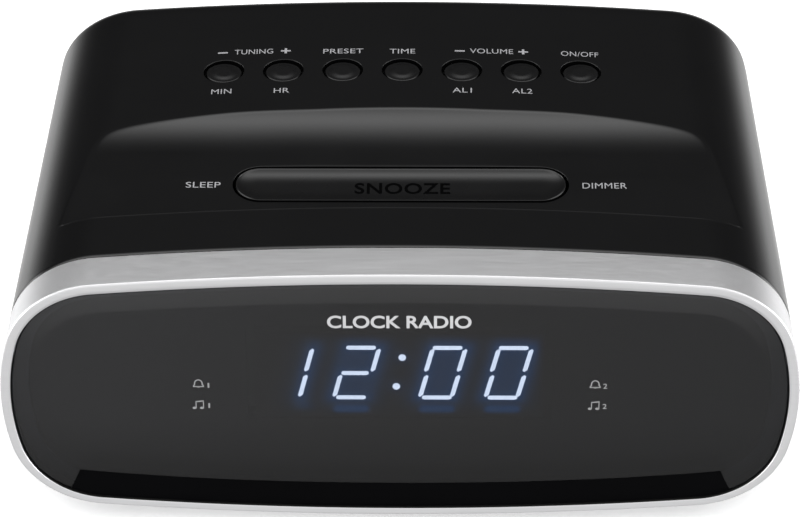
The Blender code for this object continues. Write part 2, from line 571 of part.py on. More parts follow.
for name, (fx, fd) in zip(("foot_front_left", "foot_front_right", "foot_rear_left", "foot_rear_right"), FEET):
    turned(name, [(0, 4.9), (5.0, 4.9), (5.0, 2.2), (4.6, 0.35), (4.2, 0.0), (0, 0.0)], RUBBER, (fx, y_at(fd), 0), segments=20)

for name, (fx, fd) in zip(("case_screw_front_left", "case_screw_front_right", "case_screw_rear_left", "case_screw_rear_right"), CASE_SCREWS):
    turned(name, [(0, 32.0), (0.7, 31.2), (1.3, 29.8), (1.3, 14.7), (2.75, 14.7), (2.75, 13.6), (2.0, 12.8), (0, 12.6)],
           STEEL, (fx, y_at(fd), 0), segments=12)

# ---------------------------------------------------------------- ribbon cables between the boards
def ribbon(name, path, x0, x1):
    """Flat cable: an open strip along a path in the YZ plane, given thickness."""
    mesh = bpy.data.meshes.new(name)
    bm = bmesh.new()
    rows = [[bm.verts.new(Vector((x, y_at(d), z)) * MM) for x in (x0, x1)] for d, z in path]
    for a, b in zip(rows, rows[1:]):
        bm.faces.new((a[0], a[1], b[1], b[0]))
    bm.to_mesh(mesh)
    bm.free()
    obj = add(name, mesh, FLEX)
    thick = obj.modifiers.new("thickness", "SOLIDIFY")
    thick.thickness = 0.4 * MM
    thick.offset = 0.0
    return obj


def arc_path(points, n=5):
    """Smooth path through control points, by Catmull-Rom."""
    out = []
    p = [points[0]] + points + [points[-1]]
    for i in range(1, len(p) - 2):
        for k in range(n):
            t = k / n
            out.append(tuple(
                0.5 * ((2 * p[i][c]) + (-p[i - 1][c] + p[i + 1][c]) * t
                       + (2 * p[i - 1][c] - 5 * p[i][c] + 4 * p[i + 1][c] - p[i + 2][c]) * t * t
                       + (-p[i - 1][c] + 3 * p[i][c] - 3 * p[i + 1][c] + p[i + 2][c]) * t ** 3)
                for c in (0, 1)))
    out.append(points[-1])
    return out


ribbon("display_ribbon", arc_path([(15.2, 40.0), (15.4, 36.0), (17.4, 34.0), (20.2, 32.5), (20.8, 29.5), (20.8, 27.7)], 4), -30, -14)
ribbon("key_ribbon", arc_path([(74.0, 40.6), (76.8, 39.6), (78.4, 36.0), (78.0, 31.0), (77.4, 27.7)], 4), -36, -20)

# hinge of the battery door: its origin sits on the pivot line
door_axis = moving("battery_door_axis", DOOR_PIVOT)
carry(door_axis, door)
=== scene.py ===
import json
import math

import bmesh
import bpy
import numpy as np
from mathutils import Matrix, Vector

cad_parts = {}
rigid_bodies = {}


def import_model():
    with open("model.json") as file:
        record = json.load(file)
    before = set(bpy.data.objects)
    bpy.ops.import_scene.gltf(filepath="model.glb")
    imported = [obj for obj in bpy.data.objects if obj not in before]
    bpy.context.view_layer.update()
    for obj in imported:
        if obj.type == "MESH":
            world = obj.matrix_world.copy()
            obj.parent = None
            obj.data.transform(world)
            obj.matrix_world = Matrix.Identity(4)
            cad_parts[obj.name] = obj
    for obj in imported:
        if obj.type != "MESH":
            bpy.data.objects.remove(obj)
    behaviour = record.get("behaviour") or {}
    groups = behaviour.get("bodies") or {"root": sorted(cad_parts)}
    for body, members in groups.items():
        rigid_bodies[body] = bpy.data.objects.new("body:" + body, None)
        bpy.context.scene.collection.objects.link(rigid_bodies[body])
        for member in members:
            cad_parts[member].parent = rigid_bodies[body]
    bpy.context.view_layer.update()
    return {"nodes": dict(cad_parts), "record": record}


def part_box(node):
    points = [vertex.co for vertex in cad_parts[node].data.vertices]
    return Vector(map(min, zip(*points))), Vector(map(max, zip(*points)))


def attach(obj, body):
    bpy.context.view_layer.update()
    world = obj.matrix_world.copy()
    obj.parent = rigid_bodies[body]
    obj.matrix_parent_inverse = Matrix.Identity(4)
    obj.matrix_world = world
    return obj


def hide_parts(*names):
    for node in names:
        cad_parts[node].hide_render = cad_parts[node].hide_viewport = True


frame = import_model()
MM = 0.001

# ------------------------------------------------------------------ sizes, in millimetres, as in the CAD source
bez_lo, bez_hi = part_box("front_bezel")
HALF_W, HALF_H = 70.0, 27.25
DEPTH = 92.0
CROWN_R, CORNER_R, SIDE_R = 601.0, 17.4, 49.3
SIDE_TAPER, TOP_TAPER = 4.35, 4.9
Y0 = bez_lo.y * 1000
ZC = bez_hi.z * 1000 - HALF_H * (1 - TOP_TAPER * 1.1 / DEPTH / HALF_H)
ZC = round(ZC, 2)
BEZEL_DEPTH, GAP, LIP, REAR_ROUND = 8.3, 0.3, 1.8, 4.0
SPLIT_Z = 22.0
RECESS_FRONT, RECESS_FLOOR, RECESS_SLOPE = 21.4, 21.47, 0.030
RECESS_ARC_START, RECESS_ARC_R = 44.0, 20.7
KEY_NAMES = ["tuning_down", "tuning_up", "preset", "time", "volume_down", "volume_up", "power"]

C1 = np.array([0.0, HALF_H - CROWN_R])
C3 = np.array([HALF_W - SIDE_R, 0.0])
_d1, _d3, _s = CROWN_R - CORNER_R, SIDE_R - CORNER_R, C3 - C1
_L = float(np.hypot(*_s))
_a = (_d1 ** 2 - _d3 ** 2 + _L ** 2) / (2 * _L)
_u, _o = _s / _L, math.sqrt(_d1 ** 2 - _a ** 2)
C2 = max([C1 + _u * _a + np.array([-_u[1], _u[0]]) * _o * s for s in (1, -1)], key=lambda p: min(p))
T1 = math.atan2(*(C2 - C1)[::-1])
T3 = math.atan2(*(C2 - C3)[::-1])


def y_at(depth):
    return Y0 + depth


def kx(d):
    return 1 - SIDE_TAPER * d / DEPTH / HALF_W


def kz(d):
    return 1 - TOP_TAPER * d / DEPTH / HALF_H


def quarter(inset, n=(60, 36, 14), low=0.0):
    """Points from the crown's middle round to height low on the side, for a section inset by that much."""
    out = []
    tl = math.asin(low / (SIDE_R - inset))
    for c, r, a, b, k in ((C1, CROWN_R, math.pi / 2, T1, n[0]), (C2, CORNER_R, T1, T3, n[1]), (C3, SIDE_R, T3, tl, n[2])):
        t = a + (b - a) * np.arange(k) / k
        out.append(np.stack([c[0] + (r - inset) * np.cos(t), c[1] + (r - inset) * np.sin(t)], 1))
    out.append(np.array([[C3[0] + (SIDE_R - inset) * math.cos(tl), (SIDE_R - inset) * math.sin(tl)]]))
    return np.concatenate(out)


def full_loop(inset, n=(60, 36, 14)):
    q = quarter(inset, n)
    q[0, 0] = 0.0
    right = np.concatenate([q, q[:-1][::-1] * [1, -1]])
    return np.concatenate([right, right[1:-1][::-1] * [-1, 1]])


def place(loop, depth):
    """Section points at a depth, in case coordinates."""
    x = loop[:, 0] * kx(depth)
    z = np.where(loop[:, 1] > 0, loop[:, 1] * kz(depth), loop[:, 1])
    return np.stack([x, np.full(len(x), y_at(depth)), ZC + z], 1)


def crown_z(x, d):
    """Height of the crowned top above ZC."""
    u = np.abs(np.asarray(x, float)) / kx(np.asarray(d, float))
    z = C1[1] + np.sqrt(CROWN_R ** 2 - np.minimum(u, 300) ** 2)
    xt = C2[0] + CORNER_R * math.cos(T1)
    corner = C2[1] + np.sqrt(np.maximum(CORNER_R ** 2 - np.clip(u - C2[0], -CORNER_R, CORNER_R) ** 2, 0))
    return np.where(u > xt, corner, z) * kz(np.asarray(d, float))


def step01(t):
    t = np.clip(t, 0, 1)
    return t * t * (3 - 2 * t)


CREASE = 0.058            # moulded edge along the front of the recess
ARC_BACK = 0.2            # how much further back the rear slope stands near the ends of the recess
SAG = 0.34                # the floor dips towards the rear slope, away from the middle
ARC_EASE = 3.0            # softness with which the floor turns into the rear slope


def floor_z(d, x=0.0):
    """Height of the finger recess above ZC."""
    d, u = np.asarray(d, float), np.abs(np.asarray(x, float))
    back = ARC_BACK * step01((u - 10) / 32) * (1 - step01((u - 46) / 11))
    t = d - RECESS_ARC_START - 0.2 - back
    s = np.clip((t + np.sqrt(t * t + ARC_EASE ** 2)) / 2, 0, RECESS_ARC_R * 0.86)
    dip = SAG * step01((u - 14) / 18) * (1 - step01((u - 48) / 12)) * step01((d - 35) / 8)
    return (RECESS_FLOOR + RECESS_SLOPE * (d - RECESS_FRONT) + RECESS_ARC_R - np.sqrt(RECESS_ARC_R ** 2 - s * s)
            + np.maximum(t - RECESS_ARC_R * 0.86, 0) * 2 - dip)


def soft_min(a, b, k):
    h = np.maximum(k - np.abs(a - b), 0) / k
    return np.minimum(a, b) - h * h * k / 4


def recessed(z, d, x=0.0):
    """The top surface's height with the recess sunk into it: z is the plain height above ZC."""
    d = np.asarray(d, float)
    w = np.clip((d - (RECESS_FRONT - 0.5)) / 1.0, 0, 1)
    w = w * w * (3 - 2 * w)
    ridge = CREASE * np.exp(-((d - RECESS_FRONT + 0.55) / 0.30) ** 2) * (1 - step01((np.abs(x) - 56) / 4))
    return z * (1 - w) + soft_min(z, floor_z(d, x), 0.16) * w + ridge


def surf(x, d):
    return ZC + recessed(crown_z(x, d), d, x)


# ------------------------------------------------------------------ materials
def new_mat(name):
    m = bpy.data.materials.new(name)
    m.use_nodes = True
    nt = m.node_tree
    bsdf = nt.nodes["Principled BSDF"]
    return m, nt, bsdf


def coords(nt, scale=(1, 1, 1)):
    tc = nt.nodes.new("ShaderNodeTexCoord")
    mp = nt.nodes.new("ShaderNodeMapping")
    mp.inputs["Scale"].default_value = scale
    nt.links.new(tc.outputs["Object"], mp.inputs["Vector"])
    return mp.outputs["Vector"]


def noise(nt, vec, scale, detail=3.0, rough=0.55):
    n = nt.nodes.new("ShaderNodeTexNoise")
    n.inputs["Scale"].default_value = scale
    n.inputs["Detail"].default_value = detail
    n.inputs["Roughness"].default_value = rough
    nt.links.new(vec, n.inputs["Vector"])
    return n.outputs["Fac"]


def span(nt, fac, a, b, lo=0.0, hi=1.0, clamp=True):
    r = nt.nodes.new("ShaderNodeMapRange")
    r.clamp = clamp
    r.inputs["From Min"].default_value = lo
    r.inputs["From Max"].default_value = hi
    r.inputs["To Min"].default_value = a
    r.inputs["To Max"].default_value = b
    nt.links.new(fac, r.inputs["Value"])
    return r.outputs["Result"]


def mix_col(nt, fac, a, b):
    m = nt.nodes.new("ShaderNodeMix")
    m.data_type = "RGBA"
    m.inputs["A"].default_value = (*a, 1)
    m.inputs["B"].default_value = (*b, 1)
    nt.links.new(fac, m.inputs["Factor"])
    return m.outputs["Result"]


def bump(nt, height, bsdf, strength, dist):
    b = nt.nodes.new("ShaderNodeBump")
    b.inputs["Strength"].default_value = strength
    b.inputs["Distance"].default_value = dist
    nt.links.new(height, b.inputs["Height"])
    nt.links.new(b.outputs["Normal"], bsdf.inputs["Normal"])
    return b


def plastic(name, a, b, rough, spread, grain, strength, dist, ior=1.5, coat=0.0):
    """Moulded plastic: two close tones in slow patches, a roughness that wanders, a fine surface."""
    m, nt, bsdf = new_mat(name)
    v = coords(nt)
    slow = noise(nt, v, 60.0, 3.0)
    fine = noise(nt, v, grain, 2.0)
    nt.links.new(mix_col(nt, slow, a, b), bsdf.inputs["Base Color"])
    nt.links.new(span(nt, slow, rough - spread, rough + spread, 0.3, 0.7), bsdf.inputs["Roughness"])
    bsdf.inputs["IOR"].default_value = ior
    if coat:
        bsdf.inputs["Coat Weight"].default_value = coat
        bsdf.inputs["Coat Roughness"].default_value = 0.05
    bump(nt, fine, bsdf, strength, dist)
    return m


def metal(name, a, b, rough, spread, scale, strength, dist, streak=(1, 1, 1)):
    m, nt, bsdf = new_mat(name)
    v = coords(nt, streak)
    f = noise(nt, v, scale, 4.0, 0.6)
    bsdf.inputs["Metallic"].default_value = 1.0
    nt.links.new(mix_col(nt, f, a, b), bsdf.inputs["Base Color"])
    nt.links.new(span(nt, f, rough - spread, rough + spread, 0.3, 0.7), bsdf.inputs["Roughness"])
    bump(nt, f, bsdf, strength, dist)
    return m


GLOSS = plastic("gloss_black", (0.0014, 0.0014, 0.0016), (0.0021, 0.0021, 0.0023), 0.165, 0.015, 900.0, 0.02, 0.0002)
KEYCAP = plastic("keycap_black", (0.0012, 0.0012, 0.0014), (0.0018, 0.0018, 0.0020), 0.27, 0.02, 1500.0, 0.03, 0.0001)
MATTE = plastic("textured_black", (0.011, 0.011, 0.012), (0.015, 0.015, 0.016), 0.56, 0.05, 3600.0, 0.25, 0.00005)
SILVER = metal("brushed_silver", (0.77, 0.77, 0.78), (0.86, 0.86, 0.87), 0.46, 0.05, 2600.0, 0.06, 0.00001, (0.03, 2.0, 2.0))
RUBBER = plastic("rubber", (0.016, 0.016, 0.016), (0.024, 0.024, 0.023), 0.8, 0.06, 2200.0, 0.3, 0.0001)
STEEL = metal("zinc_steel", (0.46, 0.46, 0.47), (0.62, 0.62, 0.62), 0.34, 0.08, 220.0, 0.15, 0.00004)
IRON = metal("laminations", (0.10, 0.10, 0.105), (0.20, 0.19, 0.185), 0.5, 0.08, 120.0, 0.3, 0.0001, (0.2, 12.0, 0.2))
TAPE = plastic("winding_tape", (0.55, 0.36, 0.05), (0.70, 0.50, 0.10), 0.3, 0.08, 500.0, 0.2, 0.0001)
CONE = plastic("speaker_paper", (0.018, 0.018, 0.018), (0.035, 0.034, 0.032), 0.9, 0.05, 1400.0, 0.5, 0.0002)
SLEEVE = plastic("sleeve_blue", (0.012, 0.018, 0.07), (0.02, 0.03, 0.11), 0.3, 0.06, 700.0, 0.08, 0.0001)
INNER = plastic("inner_black", (0.006, 0.006, 0.006), (0.009, 0.009, 0.009), 0.6, 0.08, 1500.0, 0.15, 0.0001)
SWITCH = plastic("switch_grey", (0.03, 0.03, 0.033), (0.05, 0.05, 0.055), 0.45, 0.06, 900.0, 0.1, 0.0001)
PLUNGER = plastic("plunger_ivory", (0.60, 0.58, 0.52), (0.70, 0.68, 0.62), 0.4, 0.05, 900.0, 0.05, 0.0001)
FLEX = plastic("flex_ivory", (0.48, 0.47, 0.42), (0.62, 0.60, 0.55), 0.5, 0.05, 700.0, 0.1, 0.0001)
PRINT = plastic("print_grey", (0.235, 0.235, 0.245), (0.285, 0.285, 0.295), 0.45, 0.05, 2500.0, 0.1, 0.00002)
PRINT_ICON = plastic("print_icon", (0.22, 0.22, 0.225), (0.27, 0.27, 0.275), 0.4, 0.05, 2500.0, 0.1, 0.00002)
PRINT_BRIGHT = plastic("print_bright", (0.40, 0.40, 0.41), (0.46, 0.46, 0.47), 0.4, 0.05, 2500.0, 0.1, 0.00002)
# flat letters with a matte finish of their own, painted darker as the shade of an engraving they are not cut into
LETTER_SHADE = plastic("letters_matte_painted_shade", (0.0005, 0.0005, 0.0006), (0.0009, 0.0009, 0.0010), 0.8, 0.05, 2500.0, 0.2, 0.00005, 1.08)
# painted dark reflection: a dark sheet laid on the window's lower margin
PAINTED_REFLECTION = plastic("window_mask", (0.0012, 0.0012, 0.0015), (0.0017, 0.0017, 0.0020), 0.6, 0.05, 1800.0, 0.05, 0.00003, 1.08)


def board_material():
    """Green solder mask over copper tracks, in procedural blocks."""
    m, nt, bsdf = new_mat("circuit_board")
    v = coords(nt)
    cells = nt.nodes.new("ShaderNodeTexVoronoi")
    cells.feature = "DISTANCE_TO_EDGE"
    cells.distance = "MANHATTAN" if hasattr(cells, "distance") else cells.distance
    cells.inputs["Scale"].default_value = 240.0
    nt.links.new(v, cells.inputs["Vector"])
    tracks = span(nt, cells.outputs["Distance"], 1.0, 0.0, 0.04, 0.09)
    nt.links.new(mix_col(nt, tracks, (0.010, 0.075, 0.030), (0.035, 0.17, 0.075)), bsdf.inputs["Base Color"])
    nt.links.new(span(nt, noise(nt, v, 90.0), 0.3, 0.5, 0.3, 0.7), bsdf.inputs["Roughness"])
    bump(nt, tracks, bsdf, 0.3, 0.0001)
    return m


PCB = board_material()
WINDOW_BODY = 0.66        # share of the pane that mirrors and colours, the rest is see-through


def window_material():
    """Smoke-tinted acrylic: mirrors by angle, and lets a third of the light behind it through."""
    m, nt, bsdf = new_mat("smoked_window")
    out = nt.nodes["Material Output"]
    v = coords(nt)
    slow = noise(nt, v, 25.0, 2.0)
    clear = nt.nodes.new("ShaderNodeBsdfTransparent")
    nt.links.new(mix_col(nt, slow, (0.72, 0.74, 0.78), (0.75, 0.77, 0.81)), clear.inputs["Color"])
    # painted shade in the pane's own colour: darker low down, where the pane mirrors the shaded floor by the front, and
    # darker towards the right
    sep = nt.nodes.new("ShaderNodeSeparateXYZ")
    nt.links.new(v, sep.inputs["Vector"])
    rise = span(nt, sep.outputs["Z"], 0.0, 1.0, (ZC - 22) * MM, (ZC - 5) * MM)
    side = span(nt, sep.outputs["X"], 1.0, 0.45, -0.050, 0.050)
    both = nt.nodes.new("ShaderNodeMath")
    both.operation = "MULTIPLY"
    nt.links.new(rise, both.inputs[0])
    nt.links.new(side, both.inputs[1])
    nt.links.new(mix_col(nt, both.outputs["Value"], (0.0004, 0.0004, 0.0007), (0.0118, 0.0118, 0.0126)), bsdf.inputs["Base Color"])
    nt.links.new(span(nt, slow, 0.08, 0.11, 0.3, 0.7), bsdf.inputs["Roughness"])
    bsdf.inputs["IOR"].default_value = 1.62
    mix = nt.nodes.new("ShaderNodeMixShader")
    mix.inputs["Fac"].default_value = WINDOW_BODY
    nt.links.new(clear.outputs["BSDF"], mix.inputs[1])
    nt.links.new(bsdf.outputs["BSDF"], mix.inputs[2])
    nt.links.new(mix.outputs["Shader"], out.inputs["Surface"])
    bump(nt, noise(nt, v, 40.0, 1.0), bsdf, 0.02, 0.0002)
    return m


def glow_material(name, colour, strength, attribute=None, base=(0.01, 0.01, 0.012)):
    """Lit plastic; with an attribute, its light follows the value computed for each vertex."""
    m, nt, bsdf = new_mat(name)
    v = coords(nt)
    f = noise(nt, v, 1200.0, 2.0)
    nt.links.new(mix_col(nt, f, base, tuple(c * 1.2 for c in base)), bsdf.inputs["Base Color"])
    bsdf.inputs["Roughness"].default_value = 0.6
    bsdf.inputs["Emission Color"].default_value = (*colour, 1)
    if attribute:
        a = nt.nodes.new("ShaderNodeAttribute")
        a.attribute_name = attribute
        nt.links.new(span(nt, a.outputs["Fac"], 0.0, strength, clamp=False), bsdf.inputs["Emission Strength"])
    else:
        nt.links.new(span(nt, f, strength * 0.95, strength * 1.05, 0.3, 0.7), bsdf.inputs["Emission Strength"])
    return m


# ------------------------------------------------------------------ building helpers
SCENE = bpy.context.scene.collection


def link(name, mesh, mat, body=None, replaces=()):
    for o in list(bpy.data.objects):
        if o.name == name:
            raise RuntimeError(f"two pieces named {name}")
    obj = bpy.data.objects.new(name, mesh)
    SCENE.objects.link(obj)
    if mat is not None:
        obj.data.materials.append(mat)
    if body:
        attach(obj, body)
    if replaces:
        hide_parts(*replaces)
    return obj


def smooth(mesh, angle=30):
    mesh.shade_smooth()
    mesh.set_sharp_from_angle(angle=math.radians(angle))
    return mesh


def mesh_of(name, verts, faces, angle=30, fix=True):
    mesh = bpy.data.meshes.new(name)
    mesh.from_pydata([tuple(float(c) * MM for c in v) for v in verts], [], [tuple(int(i) for i in f) for f in faces])
    if fix:
        bm = bmesh.new()
        bm.from_mesh(mesh)
        bmesh.ops.remove_doubles(bm, verts=bm.verts, dist=1e-7)
        bmesh.ops.recalc_face_normals(bm, faces=bm.faces)
        bm.to_mesh(mesh)
        bm.free()
    return smooth(mesh, angle)


def skin(name, loops, closed=False, caps=True, angle=30, wrap=True):
    """Mesh through equal loops of points; with wrap each loop closes on itself."""
    k = len(loops[0])
    verts = np.concatenate([np.asarray(p, float) for p in loops])
    faces = []
    rows = len(loops)
    for i in range(rows if closed else rows - 1):
        a, b = i * k, ((i + 1) % rows) * k
        for j in range(k if wrap else k - 1):
            q = (j + 1) % k
            faces.append((a + j, a + q, b + q, b + j))
    if caps and not closed:
        faces.append(tuple(range(k))[::-1])
        faces.append(tuple(range((rows - 1) * k, rows * k)))
    return mesh_of(name, verts, faces, angle)


def fillet(points, radius, steps=5):
    """A 2-D polyline with its inner corners rounded: radius is one number, or one for each inner corner."""
    pts = [np.array(p, float) for p in points]
    out = [pts[0]]
    for i in range(1, len(pts) - 1):
        r = radius[i - 1] if isinstance(radius, (list, tuple)) else radius
        a, b, c = pts[i - 1], pts[i], pts[i + 1]
        u, v = a - b, c - b
        lu, lv = np.hypot(*u), np.hypot(*v)
        u, v = u / lu, v / lv
        ang = math.acos(float(np.clip(u @ v, -1, 1)))
        if r <= 0 or math.pi - ang < 0.02:
            out.append(b)
            continue
        t = min(r / math.tan(ang / 2), 0.49 * lu, 0.49 * lv)
        for k in range(steps + 1):
            s = k / steps
            out.append((1 - s) ** 2 * (b + u * t) + 2 * s * (1 - s) * b + s * s * (b + v * t))
    out.append(pts[-1])
    return out


def turned(name, profile, centre, segments=64, angle=35, axis="Z"):
    """Spin a profile of (radius, height) points about an upright axis, or a level one."""
    loops = []
    t = 2 * np.pi * np.arange(segments) / segments
    for r, h in profile:
        r = max(r, 1e-5)
        c, s = r * np.cos(t), r * np.sin(t)
        if axis == "Z":
            loops.append(np.stack([centre[0] + c, centre[1] + s, centre[2] + np.full(segments, h)], 1))
        else:
            loops.append(np.stack([centre[0] + c, centre[1] + np.full(segments, h), centre[2] + s], 1))
    return skin(name, loops, angle=angle)


def evaluated_mesh(obj, name):
    bpy.context.view_layer.update()
    dg = bpy.context.evaluated_depsgraph_get()
    mesh = bpy.data.meshes.new_from_object(obj.evaluated_get(dg), depsgraph=dg)
    mesh.name = name
    return mesh


def boolean(base, tools):
    """base mesh with (operation, mesh) applied in turn, as a new mesh."""
    obj = bpy.data.objects.new("work", base)
    SCENE.objects.link(obj)
    extra = []
    for op, tool in tools:
        t = bpy.data.objects.new("tool", tool)
        SCENE.objects.link(t)
        extra.append(t)
        m = obj.modifiers.new("b", "BOOLEAN")
        m.operation = op
        m.solver = "EXACT"
        m.object = t
    mesh = evaluated_mesh(obj, base.name)
    for o in [obj, *extra]:
        bpy.data.objects.remove(o, do_unlink=True)
    return mesh


def stadium(half_l, half_w, cx=0.0, cy=0.0, n=16, straight=1):
    """Slot outline, anticlockwise, long along X."""
    pts = []
    for side in (1, -1):
        a = -math.pi / 2 + math.pi * np.arange(n + 1) / n
        pts.append(np.stack([cx + side * (half_l - half_w + half_w * np.cos(a)), cy + side * half_w * np.sin(a)], 1))
        if straight > 1:
            p, x1 = pts[-1][-1], cx - side * (half_l - half_w)
            xs = p[0] + (x1 - p[0]) * np.arange(1, straight) / straight
            pts.append(np.stack([xs, np.full(len(xs), p[1])], 1))
    return np.concatenate(pts)


def prism(name, loop, low, high, plane="XY", angle=30):
    loop = np.asarray(loop, float)
    a, b = loop[:, 0], loop[:, 1]

    def at(c):
        c = np.full(len(a), float(c))
        return np.stack({"XY": (a, b, c), "XZ": (a, c, b), "YZ": (c, a, b)}[plane], 1)

    return skin(name, [at(low), at(high)], angle=angle)


def block(name, low, high):
    (x0, y0, z0), (x1, y1, z1) = low, high
    return prism(name, [(x0, y0), (x1, y0), (x1, y1), (x0, y1)], z0, z1)


def joined(name, meshes):
    bm = bmesh.new()
    for m in meshes:
        bm.from_mesh(m)
    mesh = bpy.data.meshes.new(name)
    bm.to_mesh(mesh)
    bm.free()
    return mesh


# ------------------------------------------------------------------ camera
CAM = dict(f=4400.0, D0=771.0374, xc=-0.1859, zc=-24.4013, yaw=-0.0118, roll=-0.0052, th=0.663)
front_mid = Vector((0.0, Y0, ZC)) * MM
sy, cy_, st, ct = math.sin(CAM["yaw"]), math.cos(CAM["yaw"]), math.sin(CAM["th"]), math.cos(CAM["th"])
R0, F0, U0 = Vector((cy_, -sy, 0)), Vector((sy * ct, cy_ * ct, -st)), Vector((sy * st, cy_ * st, ct))
cr, sr = math.cos(CAM["roll"]), math.sin(CAM["roll"])
right, up = R0 * cr + U0 * sr, U0 * cr - R0 * sr
where = front_mid + (-CAM["xc"] * R0 - CAM["D0"] * F0 - CAM["zc"] * U0) * MM
cam_data = bpy.data.cameras.new("camera")
cam_data.lens = CAM["f"] / 800 * 36
cam_data.sensor_width = 36
cam_data.clip_start, cam_data.clip_end = 0.05, 20
cam = bpy.data.objects.new("camera", cam_data)
SCENE.objects.link(cam)
cam.matrix_world = Matrix((
    (right.x, up.x, -F0.x, where.x), (right.y, up.y, -F0.y, where.y), (right.z, up.z, -F0.z, where.z), (0, 0, 0, 1)))
bpy.context.scene.camera = cam
bpy.context.scene.view_settings.view_transform = "Standard"

# ------------------------------------------------------------------ key and bar places, from the frame
KEYS = []
for key in KEY_NAMES:
    lo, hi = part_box(key + "_button")
    KEYS.append((key, (lo.x + hi.x) * 500, (lo.y + hi.y) * 500 - Y0))
sw_lo, sw_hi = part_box("snooze_bar")
BAR_D = (sw_lo.y + sw_hi.y) * 500 - Y0
HOLE_R, KEY_R, KEY_EDGE, KEY_BUMP = 3.75, 3.3, -0.36, 0.24
BAR_L, BAR_W, BAR_GAP = 29.4, 4.57, 0.55

# ------------------------------------------------------------------ upper shell: one fine sheet with holes cut and rolled in
HOLES = [("disc", x, d, HOLE_R) for _, x, d in KEYS] + [("slot", 0.0, BAR_D, BAR_L + BAR_GAP, BAR_W + BAR_GAP)]
RIM = 0.07


def hole_distance(x, d, grow=RIM):
    best = np.full(np.shape(x), 1e9)
    for h in HOLES:
        if h[0] == "disc":
            v = np.hypot(x - h[1], d - h[2]) - h[3]
        else:
            q = np.maximum(np.abs(x - h[1]) - (h[3] - h[4]), 0)
            v = np.hypot(q, d - h[2]) - h[4]
        best = np.minimum(best, v)
    return best - grow


